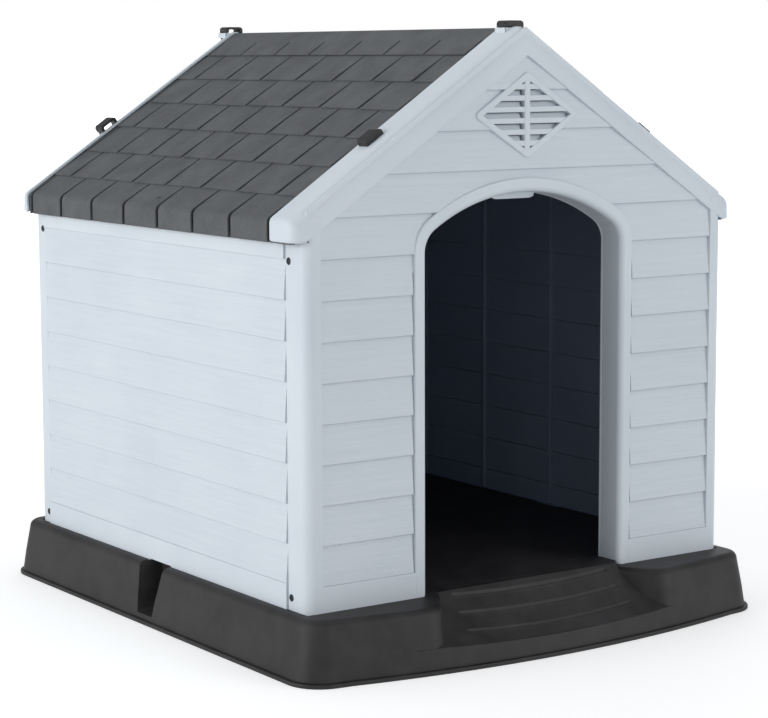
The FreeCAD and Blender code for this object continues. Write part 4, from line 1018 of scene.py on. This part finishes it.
def tray_ring(z, inset, grow=None, channel=None):
    """The tray's plan at a height: bowed front, round corners, side channels, ramp notch."""
    half, back = HALF_WIDTH - inset, HALF_LENGTH - inset
    radius = max(BASE_CORNER - inset, 3.0)
    corner_x = half - radius
    bow_y = front_line(corner_x, inset)
    lean = math.asin(corner_x / (BASE_BOW - inset))
    corner = arc((corner_x, bow_y + radius * math.cos(lean)), radius,
                 -90 + math.degrees(lean) * 0.4, 0, 10)
    if grow is None:
        x = np.linspace(0, NOTCH_REACH, 34)
        gate = np.stack([x, front_line(x, inset)], -1)
    else:
        share = np.linspace(0, 0.84, 13)
        flank_x = notch_half(share) + grow
        flank_y = RAMP_TOP_Y + (front_line(flank_x, inset) - RAMP_TOP_Y) * share
        flank = np.stack([flank_x, flank_y], -1)
        tip = NOTCH_REACH + grow
        turn_x = notch_half(1.0) + grow
        turn = bezier((flank[-1], (turn_x - 3, front_line(turn_x - 3, inset)),
                       (tip, front_line(tip, inset))), 13)
        gate = np.concatenate([line((0, RAMP_TOP_Y), flank[0], 10)[:-1], flank, turn[1:]])
    x = np.linspace(gate[-1, 0], corner[0, 0], 8)[1:-1]
    front = np.stack([x, front_line(x, inset)], -1)
    mouth = channel_half(z)
    root = mouth - 6.0
    depth_x = half if channel is None else channel
    dip = np.concatenate([
        line((half, MIDDLE_Y - mouth), (depth_x, MIDDLE_Y - root), 6),
        line((depth_x, MIDDLE_Y - root), (depth_x, MIDDLE_Y + root), 4)[1:-1],
        line((depth_x, MIDDLE_Y + root), (half, MIDDLE_Y + mouth), 6)])
    rear = arc((half - radius, back - radius), radius, 0, 90, 10)
    right = np.concatenate([gate, front, corner, dip, rear])
    plan = np.concatenate([right, (right[::-1] * (-1, 1))[:-1]])
    return np.column_stack([plan, np.full(len(plan), float(z))])


def crease_ring(channel):
    """The highest ring without the notch: in front of the ramp it follows the crease."""
    top = float(lip_height(RAMP_HALF_LIP))
    ring = tray_ring(top, taper_inset(top), channel=channel)
    gate = (np.abs(ring[:, 0]) <= NOTCH_REACH + 0.01) & (ring[:, 1] < FRONT)
    x = np.clip(np.abs(ring[gate, 0]), 0, RAMP_HALF_LIP)
    ring[gate, 2] = lip_height(x)
    ring[gate, 1] = front_line(ring[gate, 0], taper_inset(ring[gate, 2]))
    return ring, gate


def rectangle_ring(like, z, half, low_y, high_y):
    """A ring pressed onto an upright rectangle, but never below the ledge in the channels."""
    ring = like.copy()
    dipped = np.abs(like[:, 0]) < CHANNEL_X + 1
    dipped &= np.abs(like[:, 1] - MIDDLE_Y) < 30
    ring[:, 0] = np.clip(ring[:, 0], -half, half)
    ring[:, 1] = np.clip(ring[:, 1], low_y, high_y)
    ring[:, 2] = np.where(dipped, max(z, LEDGE), z)
    return ring


def tray_body():
    """The tray: rings from the floor lip up the tapered side, over the ledge and into the floor."""
    low, side_x = CHANNEL_FLOOR, HALF_WIDTH - taper_inset(CHANNEL_FLOOR)
    rings = [tray_ring(0.0, 0.7), tray_ring(0.7, 0.0), tray_ring(LIP_HEIGHT - 1.4, 0.0),
             tray_ring(LIP_HEIGHT - 0.4, 0.6), tray_ring(LIP_HEIGHT, LIP_REACH + 0.2),
             tray_ring(LIP_HEIGHT + 0.9, LIP_REACH)]
    for sweep in np.radians(SIDE_STEPS):
        depth = (side_x - CHANNEL_X) * math.sin(sweep)
        level = low + CHANNEL_ROUND * (1 - math.cos(sweep)) + 0.01
        rings.append(tray_ring(level, taper_inset(level), channel=side_x - depth))
    crease, gate = crease_ring(CHANNEL_X)
    top = float(lip_height(RAMP_HALF_LIP))
    under, sunk = (tray_ring(level, taper_inset(level), 0.0, CHANNEL_X)
                   for level in (top + 0.5, top + 1.0))
    under[gate, 2] = crease[gate, 2] - 3.0
    rings.extend([crease, under, sunk])
    for sweep in np.radians(LEDGE_STEPS):
        away = LEDGE_ROUND * (1 - math.cos(sweep))
        rings.append(tray_ring(LEDGE - LEDGE_ROUND * (1 - math.sin(sweep)),
                               taper_inset(LEDGE) + away, 0.7 * away, CHANNEL_X))
    groove = (WALL_X + FIT, FRONT - 3.0, BACK + 3.0)
    inner = (WALL_X - 6.0, FRONT + 3.4, BACK - 3.4)
    eased = (inner[0] - 1, inner[1] + 1, inner[2] - 1)
    pressed = [(LEDGE, groove), (FOOT - 1, groove), (FOOT - 1, inner), (FLOOR - 1, inner),
               (FLOOR, eased)]
    return rings + [rectangle_ring(rings[-1], z, *bounds) for z, bounds in pressed]


def ramp_rings():
    """The ramp: runs from the sill to the lip, sagging as a parabola, spread over the notch.

    Each bowed groove falls and rises in straight lines, with a bell-shaped bead below it.
    """
    spread = np.unique(np.round(np.concatenate([np.linspace(-1, 1, 61), np.linspace(0.76, 0.9, 15),
                                                -np.linspace(0.76, 0.9, 15)]), 4))
    share = np.concatenate([np.linspace(0, 1, 36)] + [middle + np.linspace(-0.1, 0.06, 25)
                                                      for middle in GROOVES])
    share = np.unique(np.round(np.clip(share, 0, 1), 5))
    rings = []
    for part in spread:
        x = part * (notch_half(share) + 1.2)
        inside_x = np.clip(np.abs(x), 0, RAMP_HALF_LIP)
        lip_y, lip_z = lip_line(inside_x), lip_height(inside_x)
        y = RAMP_TOP_Y + (lip_y - RAMP_TOP_Y) * share
        z = FLOOR - (FLOOR - lip_z) * share - 4 * RAMP_SAG * share * (1 - share)
        for tread, middle in enumerate(GROOVES):
            bowed = middle - 0.055 * (x / 120.0) ** 2
            across = share - bowed
            fall = np.clip((across + 0.034) / 0.010, 0, 1)
            rise = np.clip((0.022 - across) / 0.030, 0, 1)
            ends = 1 - np.clip((np.abs(x) - 110.0 - 3.0 * tread) / 3.0, 0, 1)
            bead = GROOVE_BEAD * np.exp(-((across - 0.032) / 0.010) ** 2)
            z = z + ends * (bead - GROOVE_DEPTH * np.minimum(fall, rise))
        sill_x = part * (DOOR_HALF - 0.6)
        sill = np.array([[sill_x, FRONT + 9.0, FLOOR - 0.3], [sill_x, FRONT + 1.0, FLOOR],
                         [part * 134.0, FRONT - 4.0, FLOOR], [x[0], RAMP_TOP_Y + 2.0, FLOOR]])
        below = np.array([[x[-1], lip_y[-1] + 0.6, lip_z[-1] - 1.5],
                          [x[-1], lip_y[-1] + 1.5, lip_z[-1] - 7.0],
                          [sill_x, FRONT + 9.0, LIP_Z - 6.0]])
        rings.append(np.concatenate([sill, np.stack([x, y + 0.15, z], -1), below]))
    return rings


# ---------------------------------------------------------------- clips and screws


def carried(rings, matrix):
    """Rings moved by a 4 x 4 matrix."""
    turn, shift = np.array(matrix)[:3, :3], np.array(matrix)[:3, 3]
    return [ring @ turn.T + shift for ring in rings]


def clip_section(is_peak, is_open):
    """(x, z) outline of a clip seen from the gable: a ribbed strap on two ribbed feet."""
    half, leg, top = 13.0, 3.5, 8.0
    crown = 5.0 if is_open else 0.9
    seat = -4.0 if is_peak else 0.0

    def groove(middle):
        """A shallow notch in the strap's top."""
        return [[middle - 0.7, top], [middle - 0.35, top - 0.7], [middle + 0.35, top - 0.7],
                [middle + 0.7, top]]

    ribs = [groove(middle) for middle in (-7.0, -4.2, -1.4, 1.4, 4.2, 7.0)]
    if is_peak:
        notch = [[-1.1, top], [-0.5, top - 1.6], [0.5, top - 1.6], [1.1, top]]
        ribs = [groove(-7.2), groove(-4.4), notch, groove(4.4), groove(7.2)]
    flank = np.array([[0, 0.2], [0, 1.6], [0.5, 2.1], [0, 2.6], [0, 4.0], [0.5, 4.5],
                      [0.1, 5.2], [1.6, 6.9], [3.6, 7.9]]) - (half, 0)
    upper = chain(flank, *ribs, flank[::-1] * (-1, 1))
    ease = min(1.4, 0.6 * crown)
    inside = np.array([[half - leg, 0.2], [half - leg, crown - ease], [half - leg - ease, crown]])
    section = np.concatenate([upper, inside, [[0.0, crown]], inside[::-1] * (-1, 1)])
    return section + (0, seat)


def roof_clip(name, matrix, is_peak, is_open):
    """One clip: the strap with eased ends, and two barbed prongs through the rim."""
    section = clip_section(is_peak, is_open)
    middle = np.array([0.0, 4.0])
    shape = Shape()
    rings = [ring_at(section + (middle - section) * ease, y)
             for y, ease in ((-9.0, 0.06), (-8.7, 0.024), (-8.2, 0.0),
                             (8.2, 0.0), (8.7, 0.024), (9.0, 0.06))]
    shape.loft(carried(rings, matrix))
    tip = -11.0 - (SLOPE * 13 + 2 if is_peak else 0.0)
    for side in (-1, 1):
        outer, inner = side * 12.8, side * 9.7
        rings = []
        neck = 0.4 * tip if is_peak else 0.0
        for z, reach, barb in ((2.0, 6.0, 0), (neck - 2.9, 5.8, 0), (neck - 3.2, 5.8, 0.15),
                               (tip + 3, 5.4, 0.0), (tip + 1, 4.6, -0.6), (tip, 3.4, -1.0)):
            edge = outer + side * barb
            rings.append(np.array([[inner, -reach, z], [edge, -reach, z],
                                   [edge, reach, z], [inner, reach, z]]))
        shape.loft(carried(rings, matrix))
    make_piece(f"{name}_detail", shape, (CLIP,), f"{name}_body", (name,))


SCREW_LENGTH = 12.0
THREAD = 1.2


def screw_rings(length):
    """A pan-head screw along -Z: a revolved outline with a cross sunk into its dome."""
    around = np.linspace(0, 2 * math.pi, 33)[:-1]
    outline = [(0.02, 1.55), (0.5, 1.55), (0.9, 1.54), (1.3, 1.5), (1.9, 1.42), (2.4, 1.3),
               (3.0, 1.08), (3.6, 0.72), (4.0, 0.35), (4.2, 0.0), (2.1, -0.02)]
    for start in np.arange(int(length / THREAD)) * THREAD:
        outline.extend([(1.55, -0.4 - start), (2.0, -0.9 - start)])
    outline.extend([(1.2, -length + 1.0), (0.05, -length)])
    rings = []
    for radius, z in outline:
        x, y = radius * np.cos(around), radius * np.sin(around)
        level = np.full(len(around), z)
        if z > 1.05:
            arm = np.minimum(np.abs(x), np.abs(y)) < 0.5
            level = np.where(arm, level - 0.9 * np.clip((2.5 - radius) / 1.2, 0, 1), level)
        rings.append(np.stack([x, y, level], -1))
    return rings


def screw(name, origin, outward):
    """One screw whose head lies at origin and whose top faces outward."""
    turn = Vector((0, 0, 1)).rotation_difference(Vector(outward)).to_matrix().to_4x4()
    matrix = Matrix.Translation(Vector(origin)) @ turn
    shape = Shape()
    shape.loft(carried(screw_rings(SCREW_LENGTH), matrix))
    make_piece(f"{name}_detail", shape, (STEEL,), HOUSE, (name,))


# ---------------------------------------------------------------- the house

gable_wall(on_front, "front", FRONT_RETURN, True)
gable_wall(on_back, "back", BACK_RETURN, False)
side_wall(-1, "left_side")
side_wall(1, "right_side")
roof_half(-1, "left")
roof_half(1, "right")

tray = Shape()
tray.loft(tray_body())
tray.loft(ramp_rings())
make_piece("tray_moulding", tray, (TRAY,), HOUSE, ("base_tray",))

CLIP_STATION = 229.0
for end_name, wall_y, half_turn in (("front", FRONT + 30.0, 0.0),
                                    ("back", BACK + 5.5, math.pi)):
    seat = Matrix.Translation((0, wall_y, APEX)) @ Matrix.Rotation(half_turn, 4, "Z")
    roof_clip(f"clip_{end_name}_peak", seat, True, end_name == "back")
    for side_name, side in (("left", -1), ("right", 1)):
        local = side if half_turn == 0.0 else -side
        tilt = Matrix.Rotation(local * ROOF_ANGLE, 4, "Y")
        matrix = seat @ tilt @ Matrix.Translation((local * CLIP_STATION, 0, 0))
        roof_clip(f"clip_{end_name}_{side_name}", matrix, False, end_name == "back")

SCREW_SETBACK = 29.0
SCREW_LOWER = 85.0
SCREW_UPPER = slope_height(WALL_X, -ROOF_UNDER + FIT) - 45.6
ROOF_SCREW_INSET = 13.0
for side_name, side in (("left", -1), ("right", 1)):
    for end_name, screw_y in (("front", FRONT + SCREW_SETBACK),
                              ("back", BACK + FRONT_RETURN - BACK_RETURN - SCREW_SETBACK)):
        for level, height in (("upper", SCREW_UPPER), ("lower", SCREW_LOWER)):
            screw(f"screw_{end_name}_{side_name}_{level}", (side * WALL_X, screw_y, height),
                  (side, 0, 0))
    head = on_slope(side, (ROOF_X - ROOF_SCREW_INSET) / ROOF_COS, MIDDLE_Y, ROOF_LOW + 0.9)
    screw(f"roof_screw_{side_name}", head, (side * ROOF_SIN, 0, ROOF_COS))


# ---------------------------------------------------------------- floor, light and camera


def studio_floor():
    """A wide pale floor that shows white to the camera and keeps the house's shadow."""
    mesh = bpy.data.meshes.new("studio_floor")
    reach = 30.0
    mesh.from_pydata([(-reach, -reach, 0), (reach, -reach, 0), (reach, reach, 0),
                      (-reach, reach, 0)], [], [(0, 1, 2, 3)])
    floor = add_object("studio_floor", mesh)
    finish = Finish("floor_paper")
    path = finish.node("ShaderNodeLightPath", output="Is Camera Ray")
    glossy = finish.node("ShaderNodeLightPath", output="Is Glossy Ray")
    seen = finish.node("ShaderNodeMath", {"operation": "MAXIMUM"}, {0: path, 1: glossy})
    paper = finish.node("ShaderNodeBsdfDiffuse", None, {"Color": (0.8, 0.8, 0.8, 1)})
    away = finish.node("ShaderNodeVectorMath", {"operation": "LENGTH"}, {0: finish.place}, 1)
    strength = seen * (0.42 + 0.6 * finish.ramp(away, 0.9, 2.2))
    glow = finish.node("ShaderNodeEmission", None, {"Color": (1, 1, 1, 1),
                                                    "Strength": strength})
    both = finish.node("ShaderNodeAddShader", None, {0: paper, 1: glow})
    finish.join(both, finish.tree.nodes["Material Output"].inputs["Surface"])
    mesh.materials.append(finish.material)


def studio_world(ambient):
    """White to the camera and to reflections, and a soft even light for everything else."""
    world = bpy.data.worlds.new("studio")
    bpy.context.scene.world = world
    world.use_nodes = True
    nodes, links = world.node_tree.nodes, world.node_tree.links
    path = nodes.new("ShaderNodeLightPath")
    white = nodes["Background"]
    white.inputs["Color"].default_value = (1, 1, 1, 1)
    soft = nodes.new("ShaderNodeBackground")
    soft.inputs["Color"].default_value = (0.95, 0.98, 1.0, 1)
    soft.inputs["Strength"].default_value = ambient
    mix = nodes.new("ShaderNodeMixShader")
    seen = nodes.new("ShaderNodeMath")
    seen.operation = "MAXIMUM"
    links.new(path.outputs["Is Camera Ray"], seen.inputs[0])
    links.new(path.outputs["Is Transmission Ray"], seen.inputs[1])
    links.new(seen.outputs[0], mix.inputs[0])
    links.new(soft.outputs[0], mix.inputs[1])
    links.new(white.outputs[0], mix.inputs[2])
    links.new(mix.outputs[0], nodes["World Output"].inputs["Surface"])


def soft_lamp(name, place, size, power):
    """A square soft box aimed at the middle of the house."""
    lamp = bpy.data.lights.new(name, "AREA")
    lamp.size = size
    lamp.energy = power
    holder = add_object(name, lamp)
    holder.location = place
    aim = Vector((0.0, 0.0, 0.35)) - Vector(place)
    holder.rotation_euler = aim.to_track_quat("-Z", "Y").to_euler()


def photo_camera():
    """The camera at the photograph's place: right, up and back as its three axes."""
    azimuth, elevation, roll = (math.radians(turn) for turn in (-34.50, 7.53, -0.21))
    back = Vector((math.sin(azimuth) * math.cos(elevation),
                   -math.cos(azimuth) * math.cos(elevation), math.sin(elevation)))
    right = Vector((math.cos(azimuth), math.sin(azimuth), 0))
    up = back.cross(right)
    turned_right = right * math.cos(roll) + up * math.sin(roll)
    turned_up = up * math.cos(roll) - right * math.sin(roll)
    camera = bpy.data.cameras.new("photo_camera")
    camera.lens = 107.44
    camera.sensor_width = 36.0
    camera.clip_start, camera.clip_end = 0.05, 100.0
    holder = add_object("photo_camera", camera)
    axes = Matrix((turned_right, turned_up, back)).transposed().to_4x4()
    holder.matrix_world = Matrix.Translation((-1.60725, -2.3535, 0.6735)) @ axes
    bpy.context.scene.camera = holder


studio_floor()
studio_world(0.55)
for lamp_name, lamp_place, lamp_size, lamp_power in (
        ("key_box", (-4.2, 0.4, 1.3), 2.2, 80.0), ("fill_box", (2.2, -3.9, 1.2), 2.4, 46.0),
        ("top_box", (0.3, 0.9, 4.2), 3.0, 12.0), ("back_box", (2.6, 3.2, 2.0), 2.4, 24.0)):
    soft_lamp(lamp_name, lamp_place, lamp_size, lamp_power)
photo_camera()
bpy.context.scene.view_settings.view_transform = "Standard"
